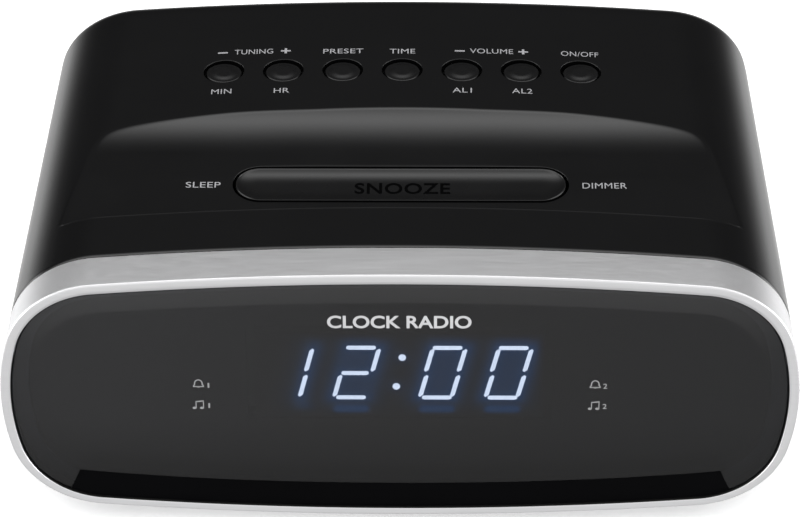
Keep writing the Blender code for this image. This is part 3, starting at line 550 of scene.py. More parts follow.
def build_top():
    n = (150, 44, 12)
    low = SPLIT_Z + GAP / 2 - ZC

    def half(inset):
        q = quarter(inset, n, low)
        q[0, 0] = 0.0
        return np.concatenate([q[::-1], (q[1:] * [-1, 1])])

    base = half(0.0)
    rows = np.unique(np.round(np.concatenate([
        np.linspace(BEZEL_DEPTH + GAP / 2 + 0.04, 19.9, 12), np.linspace(20.1, 20.8, 10), np.linspace(20.86, 21.95, 12), np.linspace(22.3, 43.0, 48),
        np.linspace(43.4, 56.0, 46), np.linspace(56.8, 60.6, 5), np.linspace(61.0, 70.8, 29), np.linspace(71.8, DEPTH - REAR_ROUND, 12)]), 4))
    grid = []

    def row(loop, d, recess=True):
        x = loop[:, 0] * kx(d)
        z = np.where(loop[:, 1] > 0, loop[:, 1] * kz(d), loop[:, 1])
        if recess:
            z = np.where(loop[:, 1] > 0, recessed(z, d, x), z)
        return np.stack([x, np.full(len(x), float(d)), z], 1)

    first = BEZEL_DEPTH + GAP / 2
    grid.append(row(half(1.9), first, False))
    grid.append(row(half(0.05), first, False))
    for d in rows:
        grid.append(row(base, d))
    for i in range(1, 13):
        t = math.pi / 2 * i / 12
        grid.append(row(half(REAR_ROUND * (1 - math.cos(t))), DEPTH - REAR_ROUND + REAR_ROUND * math.sin(t), False))
    grid.append(row(half(REAR_ROUND + 1.5), DEPTH, False))
    g = np.array(grid)
    # roll the lower edge inwards on both sides
    def rim(col, sx, dx, dz):
        c = col.copy()
        c[:, 0] -= sx * dx
        c[:, 2] += dz
        return c
    right_col, left_col = g[:, 0].copy(), g[:, -1].copy()
    g[:, 0, 2] += 0.15
    g[:, -1, 2] += 0.15
    g = np.concatenate([rim(right_col, 1, 1.6, 0.0)[:, None], rim(right_col, 1, 0.15, 0.0)[:, None], g,
                        rim(left_col, -1, 0.15, 0.0)[:, None], rim(left_col, -1, 1.6, 0.0)[:, None]], 1)
    R, C = g.shape[:2]
    x, d, z = g[..., 0].copy(), g[..., 1].copy(), g[..., 2].copy()
    cxm = (x[:-1, :-1] + x[1:, 1:]) / 2
    cdm = (d[:-1, :-1] + d[1:, 1:]) / 2
    top = (z[:-1, :-1] > 10)
    gone = (hole_distance(cxm, cdm) < 0) & top
    idx = np.arange(R * C).reshape(R, C)
    touched_gone = np.zeros((R, C), bool)
    touched_kept = np.zeros((R, C), bool)
    for a, b in ((0, 0), (0, 1), (1, 0), (1, 1)):
        touched_gone[a:R - 1 + a, b:C - 1 + b] |= gone
        touched_kept[a:R - 1 + a, b:C - 1 + b] |= ~gone
    edge = touched_gone & touched_kept
    ex, ed = x[edge], d[edge]
    for _ in range(3):
        s = hole_distance(ex, ed)
        gx = (hole_distance(ex + 1e-3, ed) - s) / 1e-3
        gd = (hole_distance(ex, ed + 1e-3) - s) / 1e-3
        ex, ed = ex - s * gx, ed - s * gd
    x[edge], d[edge] = ex, ed
    z[edge] = surf(ex, ed) - ZC
    verts = np.stack([x.ravel(), y_at(d.ravel()), ZC + z.ravel()], 1)
    faces = []
    kept = ~gone
    for i in range(R - 1):
        for j in range(C - 1):
            if kept[i, j]:
                faces.append((idx[i, j], idx[i, j + 1], idx[i + 1, j + 1], idx[i + 1, j]))
    # boundary edges between a kept and a removed cell, chained round each hole
    nxt = {}
    for i in range(R - 1):
        for j in range(C - 1):
            if not gone[i, j]:
                continue
            for (di, dj, a, b) in ((-1, 0, (i, j), (i, j + 1)), (1, 0, (i + 1, j + 1), (i + 1, j)),
                                   (0, -1, (i + 1, j), (i, j)), (0, 1, (i, j + 1), (i + 1, j + 1))):
                if kept[i + di, j + dj]:
                    nxt[idx[a]] = idx[b]
    verts = list(verts)
    steps = [(RIM * math.sin(t), RIM * (1 - math.cos(t))) for t in np.linspace(0, math.pi / 2, 6)[1:]] + [(RIM, RIM + 0.3), (RIM, 1.9)]
    flat_x, flat_d = x.ravel(), d.ravel()
    seen = set()
    for start in list(nxt):
        if start in seen:
            continue
        loop, cur = [], start
        while cur not in seen:
            seen.add(cur)
            loop.append(cur)
            cur = nxt[cur]
        lx, ld = flat_x[loop], flat_d[loop]
        s = hole_distance(lx, ld)
        gx = (hole_distance(lx + 1e-3, ld) - s) / 1e-3
        gd = (hole_distance(lx, ld + 1e-3) - s) / 1e-3
        prev = loop
        zz = surf(lx, ld)
        for off, down in steps:
            base_i = len(verts)
            px, pd = lx - gx * off, ld - gd * off
            pz = zz - down
            for k in range(len(loop)):
                verts.append((px[k], y_at(pd[k]), pz[k]))
            ring = list(range(base_i, base_i + len(loop)))
            for k in range(len(loop)):
                q = (k + 1) % len(loop)
                faces.append((prev[k], prev[q], ring[q], ring[k]))
            prev = ring
    return mesh_of("top_shell", verts, faces, 60)


top_shell = link("top_shell", build_top(), GLOSS, "case", ["top_housing"])

# ------------------------------------------------------------------ rear wall of the upper shell, with cord and aerial holes
gr_lo, gr_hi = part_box("cord_grommet")
GRX, GRZ = (gr_lo.x + gr_hi.x) * 500, (gr_lo.z + gr_hi.z) * 500
wall = place(full_loop(REAR_ROUND + 1.4, (40, 24, 12)), DEPTH)
wall_loop = np.array([(p[0], p[2]) for p in wall])


def clip_z(loop, z0, above=True):
    out = []
    for i in range(len(loop)):
        a, b = loop[i], loop[(i + 1) % len(loop)]
        ina, inb = (a[1] >= z0) == above, (b[1] >= z0) == above
        if ina:
            out.append(a)
        if ina != inb:
            t = (z0 - a[1]) / (b[1] - a[1])
            out.append(a + t * (b - a))
    return np.array(out)


def rod(name, r, x, z, y0, y1, n=48):
    t = 2 * np.pi * np.arange(n) / n
    return prism(name, np.stack([x + r * np.cos(t), z + r * np.sin(t)], 1), y0, y1, "XZ")


def rear_cuts():
    return [("DIFFERENCE", rod("t1", 5.1, GRX, GRZ, y_at(80), y_at(100))),
            ("DIFFERENCE", rod("t2", 6.4, GRX, GRZ, y_at(DEPTH - 1.3), y_at(100)))]


plate = boolean(prism("rear_upper", clip_z(wall_loop, SPLIT_Z + GAP / 2), y_at(DEPTH - 1.8), y_at(DEPTH), "XZ"),
                rear_cuts() + [("DIFFERENCE", rod("t3", 1.1, 40, 31, y_at(80), y_at(100), 24)),
                               ("DIFFERENCE", rod("t4", 1.9, 40, 31, y_at(DEPTH - 0.5), y_at(100), 24))])
link("rear_upper_wall", smooth(plate), GLOSS, "case")

# ------------------------------------------------------------------ lower shell and battery door
CASE_SCREWS, FEET, BOARD_POSTS = [], [], [(-45.5, 19.5), (4.0, 19.5), (-45.5, 81.0), (4.0, 81.0)]
for s in ("front_left", "front_right", "rear_left", "rear_right"):
    lo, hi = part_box("case_screw_" + s)
    CASE_SCREWS.append(((lo.x + hi.x) * 500, (lo.y + hi.y) * 500 - Y0))
    lo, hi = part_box("foot_" + s)
    FEET.append(((lo.x + hi.x) * 500, (lo.y + hi.y) * 500 - Y0))
lo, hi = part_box("speaker_frame")
SPEAKER = ((lo.x + hi.x) * 500, (lo.y + hi.y) * 500 - Y0)
lo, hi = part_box("transformer_core")
TRAFO = ((lo.x + hi.x) * 500, (lo.y + hi.y) * 500 - Y0)
BAY_X, BAY_D, BAY_TOP = (-2.3, 47.8), (30.7, 54.3), 15.0
TABS = [(35.0, 39.0), (46.0, 50.0)]


def form(name, front, rear, inset, rounding, n=(34, 22, 10)):
    loops = [place(full_loop(inset, n), d) for d in np.linspace(front, rear - rounding, 10)]
    for i in range(1, 9):
        t = math.pi / 2 * i / 8
        loops.append(place(full_loop(inset + rounding * (1 - math.cos(t)), n), rear - rounding + rounding * math.sin(t)))
    return skin(name, loops, angle=40)


def disc(x, d, r, z0, z1, n=32):
    t = 2 * np.pi * np.arange(n) / n
    return prism("c", np.stack([x + r * np.cos(t), y_at(d) + r * np.sin(t)], 1), z0, z1)


void = boolean(form("void", BEZEL_DEPTH - 4, DEPTH - 2.2, 2.0, REAR_ROUND - 1.5, (16, 12, 6)),
               [("DIFFERENCE", disc(x, d, 4.4, -10, 40)) for x, d in CASE_SCREWS]
               + [("DIFFERENCE", disc(x, d, 2.8, -10, 25.2, 20)) for x, d in BOARD_POSTS]
               + [("DIFFERENCE", disc(*SPEAKER, 23.0, -10, 6.2, 64))]
               + [("DIFFERENCE", disc(TRAFO[0] + s * 20.3, TRAFO[1], 2.8, -10, 6.2, 20)) for s in (-1, 1)]
               + [("DIFFERENCE", block("b", (BAY_X[0] - 1.5, y_at(BAY_D[0] - 1.5), -10), (BAY_X[1] + 1.5, y_at(BAY_D[1] + 1.5), BAY_TOP + 1.5)))])


def rounded_rect(x0, x1, y0, y1, r, n=6):
    pts = []
    for cx, cy, a0 in ((x1 - r, y1 - r, 0), (x0 + r, y1 - r, 90), (x0 + r, y0 + r, 180), (x1 - r, y0 + r, 270)):
        a = np.radians(a0 + 90 * np.arange(n + 1) / n)
        pts.append(np.stack([cx + r * np.cos(a), cy + r * np.sin(a)], 1))
    return np.concatenate(pts)


cuts = [("DIFFERENCE", void), ("DIFFERENCE", block("s", (-90, -80, SPLIT_Z - GAP / 2), (90, 80, 90))),
        ("DIFFERENCE", prism("bay", rounded_rect(BAY_X[0], BAY_X[1], y_at(BAY_D[0]), y_at(BAY_D[1]), 0.8), -5, BAY_TOP))]
cuts += [("DIFFERENCE", block("tab", (BAY_X[0] - 5, y_at(a - 0.4), 4.35), (BAY_X[0] + 1, y_at(b + 0.4), 8.6))) for a, b in TABS]
for k in range(-4, 5):
    dy = k * 4.0
    half_l = math.sqrt(18.5 ** 2 - dy * dy)
    cuts.append(("DIFFERENCE", prism("g", stadium(half_l, 0.8, SPEAKER[0], y_at(SPEAKER[1] + dy), 8), -5, 9)))
for k in range(5):
    cuts.append(("DIFFERENCE", prism("v", stadium(10, 0.75, TRAFO[0], y_at(64.0 + 4.5 * k), 8), -5, 5.9)))
cuts += [("DIFFERENCE", disc(x, d, 5.3, -5, 5.2, 40)) for x, d in FEET]
cuts += [("DIFFERENCE", disc(x, d, 3.1, -5, 15)) for x, d in CASE_SCREWS]
cuts += [("DIFFERENCE", disc(x, d, 1.7, 10, 30, 20)) for x, d in CASE_SCREWS]
cuts += rear_cuts()
cuts.append(("DIFFERENCE", disc(BAY_X[1] + 1.5, 42.5, 5.5, -1.0, 4.4, 40)))
lower = boolean(form("lower_shell", BEZEL_DEPTH + GAP, DEPTH, 0.0, REAR_ROUND), cuts)
link("lower_shell", smooth(lower, 32), MATTE, "case", ["bottom_housing"])

door = boolean(form("battery_lid", BEZEL_DEPTH + GAP, DEPTH, 0.0, REAR_ROUND),
               [("INTERSECT", prism("slab", rounded_rect(BAY_X[0] + GAP, BAY_X[1] - GAP, y_at(BAY_D[0] + GAP), y_at(BAY_D[1] - GAP), 0.6), -5, 5.4))]
               + [("UNION", block("tab", (BAY_X[0] - 2.9, y_at(a), 4.6), (BAY_X[0] + 2.5, y_at(b), 5.3))) for a, b in TABS]
               + [("UNION", block("latch", (44.6, y_at(41.0), 4.0), (45.6, y_at(44.0), 9.0)))]
               + [("DIFFERENCE", prism("rib", stadium(5.0, 0.4, 38.0, y_at(42.5 + 1.9 * k), 6), 1.0, 2.45)) for k in (-2, -1, 0, 1, 2)])
link("battery_lid", smooth(door, 32), MATTE, "battery_door", ["battery_door"])

# ------------------------------------------------------------------ bezel
LIP_SEEN = 1.79
bz = fillet([(0.0, BEZEL_DEPTH), (0.0, 0.0), (LIP_SEEN, 0.0), (LIP_SEEN, 3.0)], [0.36, 0.42], 9)
bz += [(4.6, 3.0), (4.6, 4.6), (3.5, 4.6), (3.5, 13.0), (2.35, 13.0), (2.35, BEZEL_DEPTH)]
LOW = 0.32                # the opening sits this much below the outline's middle


def lowered(loop, amount=LOW):
    return loop - np.array([0.0, 0.0, amount])


bezel = skin("bezel_ring", [lowered(place(full_loop(i), d), LOW if i > LIP_SEEN - 0.2 and d <= 3.0 else 0.0) for i, d in bz], closed=True, angle=40)
ring = link("bezel_ring", bezel, SILVER, "case", ["front_bezel"])
# painted shade: the silver wall inside the lip gets the inner black finish, standing in for the shadow in the gap by
# the window
ring.data.materials.append(INNER)
for poly in ring.data.polygons:
    mid = poly.center
    if (mid.y - Y0 * MM) > 0.20 * MM and (mid.y - Y0 * MM) < 12.8 * MM:
        towards = -poly.normal.x * mid.x - poly.normal.z * (mid.z - ZC * MM)
        if towards > 0:
            poly.material_index = 1

# ------------------------------------------------------------------ window, with a shallow bevel all round
WIN_OUT = LIP_SEEN + 0.10
WIN_PTS = fillet([(9.0, 0.12), (5.8, 0.13), (WIN_OUT + 0.22, 0.46), (WIN_OUT, 0.70), (WIN_OUT, 2.7)], [1.5, 0.15, 0.1], 5)


def window_depth(inset):
    a = np.array(WIN_PTS)[::-1]
    return np.interp(inset, a[:, 0], a[:, 1])


win = skin("window_pane", [lowered(place(full_loop(i), d)) for i, d in WIN_PTS], angle=40)
link("window_pane", win, window_material(), "case", ["front_window"])


def painted_reflection_strip():
    """Dark band along the window's lower margin, a painted dark reflection of the shaded floor under the front: gently
    bowed top edge, short slanted ends.
    """
    q = quarter(0.0, (200, 90, 30))
    edge = quarter(WIN_OUT + 0.3, (260, 120, 40))
    depth_of = lambda x, z: window_depth(np.array([min(np.hypot(*(q - [abs(a), -b]).T)) for a, b in zip(x, z)]))
    rows = []
    for s in np.linspace(0, 1, 14):
        half = 58.7 - 1.8 * s
        xs = np.linspace(-half, half, 181)
        low = -np.interp(np.abs(xs), edge[:, 0], edge[:, 1])
        high = -19.5 + 0.00079 * xs ** 2 + 4.1e-8 * xs ** 4
        z = low + (np.maximum(high, low + 0.4) - low) * s
        rows.append(np.stack([xs, y_at(depth_of(xs, z) - 0.05), ZC + z - LOW], 1))
    return skin("window_mask", rows, caps=False, wrap=False, angle=60)


link("window_mask", painted_reflection_strip(), PAINTED_REFLECTION, "case")

# ------------------------------------------------------------------ keys
for key, x, d in KEYS:
    zt = float(surf(x, d))
    prof = [(r, KEY_EDGE + KEY_BUMP * float(1 - step01((r - 1.35) / 1.35))) for r in np.linspace(0, 2.98, 30)]
    prof += [(2.98 + 0.32 * math.sin(t), prof[29][1] - 0.36 * (1 - math.cos(t))) for t in np.linspace(0.2, math.pi / 2, 8)]
    prof += [(KEY_R, -2.75), (4.45, -2.75), (4.45, -3.6), (0.0, -3.6)]
    cap = turned(f"{key}_key", prof, (x, y_at(d), zt), 72)
    fall = (float(surf(x, d + 2)) - float(surf(x, d - 2))) / 4
    for vert in cap.vertices:
        if vert.co.z > (zt - 1.0) * MM:
            vert.co.z += fall * (vert.co.y - y_at(d) * MM)
    link(f"{key}_key", cap, KEYCAP, key, [f"{key}_button"])

# ------------------------------------------------------------------ snooze bar with its hollowed top
BAR_DISH, DISH_POWER = 0.65, 3.4
bar_rows = []


def dish(dd):
    """Height across the bar's hollow: flat in the middle, rising towards both long edges."""
    return -BAR_DISH * (1 - np.clip(np.abs(dd) / (BAR_W - 0.3), 0, 1) ** DISH_POWER)


def lean_back(v):
    """The hollow's middle leans slightly to the rear."""
    w = np.clip(v / (BAR_W - 0.3), -1, 1)
    return -0.06 * v * (1 - w * w)


def build_bar():
    zf = float(ZC + floor_z(BAR_D))
    loops = []
    n, st_ = 28, 60
    for i, (inset, lift) in enumerate([(0.0, -3.2), (0.0, -0.06)]
                                      + [(0.06 * (1 - math.cos(a)), -0.06 + 0.06 * math.sin(a)) for a in np.linspace(0, math.pi / 2, 6)[1:]]):
        s = stadium(BAR_L - inset, BAR_W - inset, 0, 0, n, st_)
        z = zf + lift + RECESS_SLOPE * s[:, 1]
        loops.append(np.stack([s[:, 0], y_at(BAR_D + s[:, 1]), z], 1))
    for k in np.linspace(0.012, 1.0, 34):
        s = stadium(BAR_L - 0.06, BAR_W - 0.06, 0, 0, n, st_)
        core = np.clip(s[:, 0], -(BAR_L - BAR_W), BAR_L - BAR_W)
        px = s[:, 0] + (core - s[:, 0]) * k
        py = s[:, 1] * (1 - k)
        r = np.hypot(np.maximum(np.abs(px) - (BAR_L - BAR_W), 0), py)
        z = zf + dish(np.where(np.abs(px) > BAR_L - BAR_W, r, py)) + RECESS_SLOPE * py + lean_back(py)
        if k == 1.0:
            continue
        loops.append(np.stack([px, y_at(BAR_D + py), z], 1))
    base = skin("snooze_key", loops, angle=60)
    return base


bar = link("snooze_key", build_bar(), KEYCAP, "snooze", ["snooze_bar"])

# ------------------------------------------------------------------ feet, screws, grommet
for (x, d), s in zip(FEET, ("front_left", "front_right", "rear_left", "rear_right")):
    prof = fillet([(0, 4.9), (5.0, 4.9), (5.0, 1.6), (4.3, 0.0), (3.0, 0.0), (2.7, 0.35), (0, 0.35)], [0.3, 0.5, 0.5, 0.1, 0.1], 5)
    link(f"rubber_foot_{s}", turned("foot", prof, (x, y_at(d), 0), 64), RUBBER, "case", [f"foot_{s}"])
for (x, d), s in zip(CASE_SCREWS, ("front_left", "front_right", "rear_left", "rear_right")):
    prof = fillet([(0, 32.0), (0.7, 31.2), (1.3, 29.8), (1.3, 14.7), (2.75, 14.7), (2.75, 13.6), (2.0, 12.75), (0, 12.6)], [0.1, 0.1, 0.1, 0.2, 0.3, 0.4], 4)
    head = turned("screw", prof, (x, y_at(d), 0), 40)
    cross = [("DIFFERENCE", block("x", (x - 1.4, y_at(d) - 0.28, 10), (x + 1.4, y_at(d) + 0.28, 13.7))),
             ("DIFFERENCE", block("x", (x - 0.28, y_at(d) - 1.4, 10), (x + 0.28, y_at(d) + 1.4, 13.7)))]
    link(f"screw_{s}", smooth(boolean(head, cross)), STEEL, "case", [f"case_screw_{s}"])
gp = fillet([(0, 1.0), (6.0, 1.0), (6.0, 0.0), (4.8, 0.0), (4.8, -1.5), (6.0, -1.5), (6.0, -2.8), (0, -2.8)], [0.4, 0.1, 0.1, 0.1, 0.2, 0.3], 5)
grom = turned("grommet", [(r, h) for r, h in gp], (GRX, y_at(DEPTH - 1.0), GRZ), 56, axis="Y")
slot_cut = prism("slot", stadium(3.3, 2.3, GRX, GRZ, 14), y_at(DEPTH - 6), y_at(DEPTH + 4), "XZ")
link("cord_bush", smooth(boolean(grom, [("DIFFERENCE", slot_cut)])), RUBBER, "case", ["cord_grommet"])

# ------------------------------------------------------------------ lettering in the built-in typeface
def letters(name, text, width, cap, put, mat, body, weight=0.0, depth=0.0, spacing=1.0):
    """Text with a given width and capital height, laid on a surface by put(across, up)."""
    curve = bpy.data.curves.new(name, "FONT")
    curve.body = text
    curve.size = 1.0
    curve.align_x = "CENTER"
    curve.space_character = spacing
    curve.offset = weight
    curve.resolution_u = 6
    tmp = bpy.data.objects.new(name + "_tmp", curve)
    SCENE.objects.link(tmp)
    mesh = evaluated_mesh(tmp, name)
    bpy.data.objects.remove(tmp, do_unlink=True)
    mesh.materials.clear()
    co = np.array([v.co for v in mesh.vertices])
    x0, x1 = co[:, 0].min(), co[:, 0].max()
    height = 0.729 if any(c.isalnum() for c in text) else (co[:, 1].max() - co[:, 1].min())
    base = 0.0 if any(c.isalnum() for c in text) else co[:, 1].min()
    sx, sy_ = width / (x1 - x0), cap / height
    u = (co[:, 0] - (x0 + x1) / 2) * sx
    v = (co[:, 1] - base) * sy_ - cap / 2
    pts = put(u, v)
    for vert, p in zip(mesh.vertices, pts):
        vert.co = Vector(p) * MM
    bm = bmesh.new()
    bm.from_mesh(mesh)
    bmesh.ops.triangulate(bm, faces=bm.faces)
    bm.to_mesh(mesh)
    bm.free()
    return link(name, smooth(mesh), mat, body)


def on_top(cx, cd, lift=0.03):
    def put(u, v):
        x, d = cx + u, cd + v
        return np.stack([x, y_at(d), surf(x, d) + lift], 1)
    return put


def on_window(cx, cz, lift=0.05):
    def put(u, v):
        return np.stack([cx + u, np.full(len(u), y_at(0.12 - lift)), ZC + cz + v], 1)
    return put


CAP = 1.68
LABELS = [("tuning", "TUNING", -27.5, 72.6, 7.1), ("preset", "PRESET", -10.95, 72.1, 7.4), ("time", "TIME", 0.0, 71.95, 4.7),
          ("volume", "VOLUME", 16.45, 72.3, 8.0), ("on_off", "ON/OFF", 32.75, 72.3, 6.9), ("minute", "MIN", -33.0, 59.4, 3.7),
          ("hour", "HR", -22.0, 59.1, 2.8), ("alarm_one", "AL1", 11.0, 58.85, 3.5), ("alarm_two", "AL2", 21.95, 59.0, 3.7),
          ("sleep", "SLEEP", -35.2, 32.95, 6.2), ("dimmer", "DIMMER", 36.3, 32.9, 7.9)]
for n, t, x, d, w in LABELS:
    letters(f"label_{n}", t, w, CAP, on_top(x, d), PRINT, "case", weight=0.0, spacing=1.04)


def sign(name, cx, cd, plus):
    """Plus or minus mark: crossed bars."""
    bars = [(0.92, 0.22)] + ([(0.22, 0.86)] if plus else [])
    meshes = []
    for hx, hd in bars:
        xs = np.linspace(cx - hx, cx + hx, 9)
        rows = [np.stack([xs, np.full(9, y_at(cd + s)), surf(xs, np.full(9, cd + s)) + 0.03 + (0.002 if hx < hd else 0)], 1) for s in np.linspace(-hd, hd, 9)]
        meshes.append(skin(name, rows, caps=False, wrap=False))
    link(name, smooth(joined(name, meshes)), PRINT, "case")


sign("mark_tuning_minus", -33.25, 72.5, False)
sign("mark_tuning_plus", -21.6, 72.5, True)
sign("mark_volume_minus", 10.6, 72.15, False)
sign("mark_volume_plus", 22.3, 72.3, True)


def in_dish(u, v):
    z = ZC + float(floor_z(BAR_D)) + dish(v) + RECESS_SLOPE * v + lean_back(v) + 0.03
    return np.stack([u + 0.3, y_at(BAR_D + v), z], 1)


# SNOOZE lies flat in the dish: its darker tone is painted groove shade
letters("label_snooze", "SNOOZE", 17.0, 3.3, lambda u, v: in_dish(u, v - 0.35), LETTER_SHADE, "snooze", weight=0.02, spacing=1.08)
letters("face_title", "CLOCK RADIO", 25.0, 2.75, on_window(0.0, 17.05), PRINT_BRIGHT, "case", weight=0.022, spacing=1.0)

# ------------------------------------------------------------------ display: digits behind the window
SIGHT = math.tan(math.radians(37.6))
DIG_DEPTH = 4.0           # just in front of the display module
SHIFT = -(DIG_DEPTH - 0.12) * SIGHT
DIG_W = 6.02              # between the middles of the upright bars
DIG_TOP, DIG_MID, DIG_LOW = 10.98, 5.24, -0.30    # heights of the level bars
LEAN = 0.231              # how far the uprights lean, across for each unit up
UP_T, FLAT_T = 0.92, 0.84 # widths of upright and level bars


def bar_shape(a, b, t, flat):
    """A display bar from a to b with chamfered ends."""
    (ax, az), (bx, bz) = a, b
    h = t / 2
    if flat:
        return [(ax, az - h * 0.6), (ax + h, az - h), (bx - h, bz - h), (bx, bz - h * 0.5), (bx, bz + h * 0.6), (bx - h * 0.7, bz + h), (ax + h * 0.7, az + h), (ax, az + h * 0.5)]
    return [(ax - h, az + h * 0.2), (ax - h * 0.4, az - h * 0.4), (ax + h * 0.8, az + h * 0.5), (bx + h, bz - h * 0.2), (bx + h * 0.4, bz + h * 0.4), (bx - h * 0.8, bz - h * 0.5)]


def segment_shape(code):
    """One bar of a seven-segment digit, with the origin at the lower left upright's foot."""
    if code in "adg":
        z = {"a": DIG_TOP, "g": DIG_MID, "d": DIG_LOW}[code]
        x0 = {"a": 2.52, "g": 1.62, "d": 0.62}[code]
        return bar_shape((x0, z), (x0 + {"a": 5.15, "g": 4.75, "d": 5.2}[code], z), FLAT_T, True)
    base = {"e": 0.31, "f": 0.0, "b": DIG_W - 0.28, "c": DIG_W - 0.12}[code]
    z0, z1 = (DIG_MID + 0.55, DIG_TOP - 0.45) if code in "bf" else (DIG_LOW + 0.35, DIG_MID - 0.62)
    return bar_shape((base + LEAN * (z0 - DIG_LOW) + 0.02, z0), (base + LEAN * (z1 - DIG_LOW) - 0.14, z1), UP_T, False)


DIGITS = [("hour_tens", "bc", -17.5 - DIG_W), ("hour_units", "abged", -11.85), ("minute_tens", "abcdef", 3.28), ("minute_units", "abcdef", 14.85)]
LIT = glow_material("led_segment", (0.80, 0.88, 1.0), 12.0)
lit_polys = []
for n, segs, x0 in DIGITS:
    meshes = []
    for s in segs:
        poly = [(x0 + px, py + SHIFT) for px, py in segment_shape(s)]
        lit_polys.append(poly)
        meshes.append(prism(n, [(p[0], ZC + p[1]) for p in poly], y_at(DIG_DEPTH), y_at(DIG_DEPTH + 0.08), "XZ"))
    link(f"digit_{n}", smooth(joined(n, meshes)), LIT, "case")
dots = []
for cx, cz in ((0.44, 8.77), (-0.63, 2.22)):
    t = 2 * np.pi * np.arange(28) / 28
    poly = [(cx + 0.66 * math.cos(a), cz + SHIFT + 0.70 * math.sin(a)) for a in t]
    lit_polys.append(poly)
    dots.append(prism("dot", [(p[0], ZC + p[1]) for p in poly], y_at(DIG_DEPTH), y_at(DIG_DEPTH + 0.08), "XZ"))
link("digit_colon", smooth(joined("digit_colon", dots)), LIT, "case")


def poly_distance(px, pz, poly):
    best = np.full(px.shape, 1e9)
    inside = np.zeros(px.shape, bool)
    for i in range(len(poly)):
        ax, az = poly[i]
        bx, bz = poly[(i + 1) % len(poly)]
        ex, ez = bx - ax, bz - az
        t = np.clip(((px - ax) * ex + (pz - az) * ez) / (ex * ex + ez * ez), 0, 1)
        best = np.minimum(best, np.hypot(px - ax - t * ex, pz - az - t * ez))
        cross = ((az > pz) != (bz > pz)) & (px < (bx - ax) * (pz - az) / (bz - az + 1e-12) + ax)
        inside ^= cross
    return np.where(inside, 0.0, best)


def painted_glow_sheet():
    """Sheet behind the digits that carries painted light: a soft painted glow round each digit, and faint painted
    reflections of the level bars.
    """
    xs, zs = np.linspace(-25.4, 25.4, 255), np.linspace(-7.8, 11.0, 111)
    gx, gz = np.meshgrid(xs, zs)
    glow = np.zeros(gx.shape)
    for n, segs, x0 in DIGITS:
        wide = DIG_W if n != "hour_tens" else 0.0
        left = x0 if n != "hour_tens" else x0 + DIG_W
        lo, hi = DIG_LOW + SHIFT, DIG_TOP + SHIFT
        rise = LEAN * (DIG_TOP - DIG_LOW)
        body = [(left, lo), (left + wide + 0.01, lo), (left + wide + 0.01 + rise, hi), (left + rise, hi)]
        bd = poly_distance(gx, gz, body)
        glow = np.maximum(glow, 0.50 * np.exp(-(bd / 1.5) ** 2) + 0.22 * np.exp(-(bd / 3.2) ** 2))
        for s in segs:
            if s in "ad":
                painted_bar_reflection = [(x0 + px, pz + SHIFT + (-2.75 if s == "d" else 2.15)) for px, pz in segment_shape(s)]
                glow += (1.0 if s == "d" else 0.2) * np.exp(-(poly_distance(gx, gz, painted_bar_reflection) / 0.6) ** 2)
        # a painted glow spot below the hour's tens digit
        if n == "hour_tens":
            glow += 0.35 * np.exp(-(np.hypot((gx - left - 0.5) / 1.6, (gz - lo + 2.0) / 1.0)) ** 2)
    for poly in lit_polys:
        glow += 0.55 * np.exp(-(poly_distance(gx, gz, poly) / 0.55))
    edge = np.minimum.reduce([gx - xs[0], xs[-1] - gx, gz - zs[0], zs[-1] - gz])
    glow *= np.clip(edge / 1.5, 0, 1)
    verts = np.stack([gx.ravel(), np.full(gx.size, y_at(DIG_DEPTH + 0.12)), ZC + gz.ravel()], 1)
    idx = np.arange(gx.size).reshape(gx.shape)
    faces = [(idx[i, j], idx[i, j + 1], idx[i + 1, j + 1], idx[i + 1, j]) for i in range(gx.shape[0] - 1) for j in range(gx.shape[1] - 1)]
    mesh = mesh_of("halo", verts, faces, fix=False)
    a = mesh.attributes.new("glow", "FLOAT", "POINT")
    a.data.foreach_set("value", glow.ravel().astype(np.float32))
    return mesh


# painted glow: an emissive sheet, not a lamp, lights the pane round the digits
link("display_diffuser", painted_glow_sheet(), glow_material("painted_led_glow", (0.0, 0.33, 1.0), 0.66, "glow", (0.0016, 0.0016, 0.0020)), "case")

# ------------------------------------------------------------------ alarm icons printed on the window
def ribbon_of(points, width, closed=False):
    """Flat stroke of even width along a 2-D line."""
    p = np.array(points, float)
    n = len(p)
    t = np.roll(p, -1, 0) - np.roll(p, 1, 0) if closed else np.gradient(p, axis=0)
    t /= np.maximum(np.hypot(t[:, 0], t[:, 1]), 1e-9)[:, None]
    nrm = np.stack([-t[:, 1], t[:, 0]], 1) * width / 2
    return p + nrm, p - nrm, closed


def strokes(name, items, cx, cz, mat):
    verts, faces = [], []
    for kind, data in items:
        base = len(verts)
        if kind == "line":
            a, b, closed = data
            k = len(a)
            for q in list(a) + list(b):
                verts.append((cx + q[0], y_at(0.07), ZC + cz + q[1]))
            for i in range(k if closed else k - 1):
                j = (i + 1) % k
                faces.append((base + i, base + j, base + k + j, base + k + i))
        else:
            for q in data:
                verts.append((cx + q[0], y_at(0.07), ZC + cz + q[1]))
            faces.append(tuple(range(base, base + len(data))))
    link(name, mesh_of(name, verts, faces, fix=False), mat, "case")


def bell():
    s = np.linspace(0, 1, 30)
    left = [(-0.95 + 0.28 * t, -0.62 + 0.45 * t ** 0.8) for t in np.linspace(0, 1, 5)]
    dome = [(0.67 * math.cos(a), 0.05 + 0.85 * math.sin(a)) for a in np.linspace(math.pi * 0.98, math.pi * 0.02, 22)]
    right_ = [(-x, z) for x, z in left[::-1]]
    body = left + dome + right_
    clap = [(0.28 * math.cos(a), -0.66 + 0.22 * math.sin(a)) for a in np.linspace(math.pi, 2 * math.pi, 8)]
    return [("line", ribbon_of(body, 0.22, True)), ("fill", clap)]


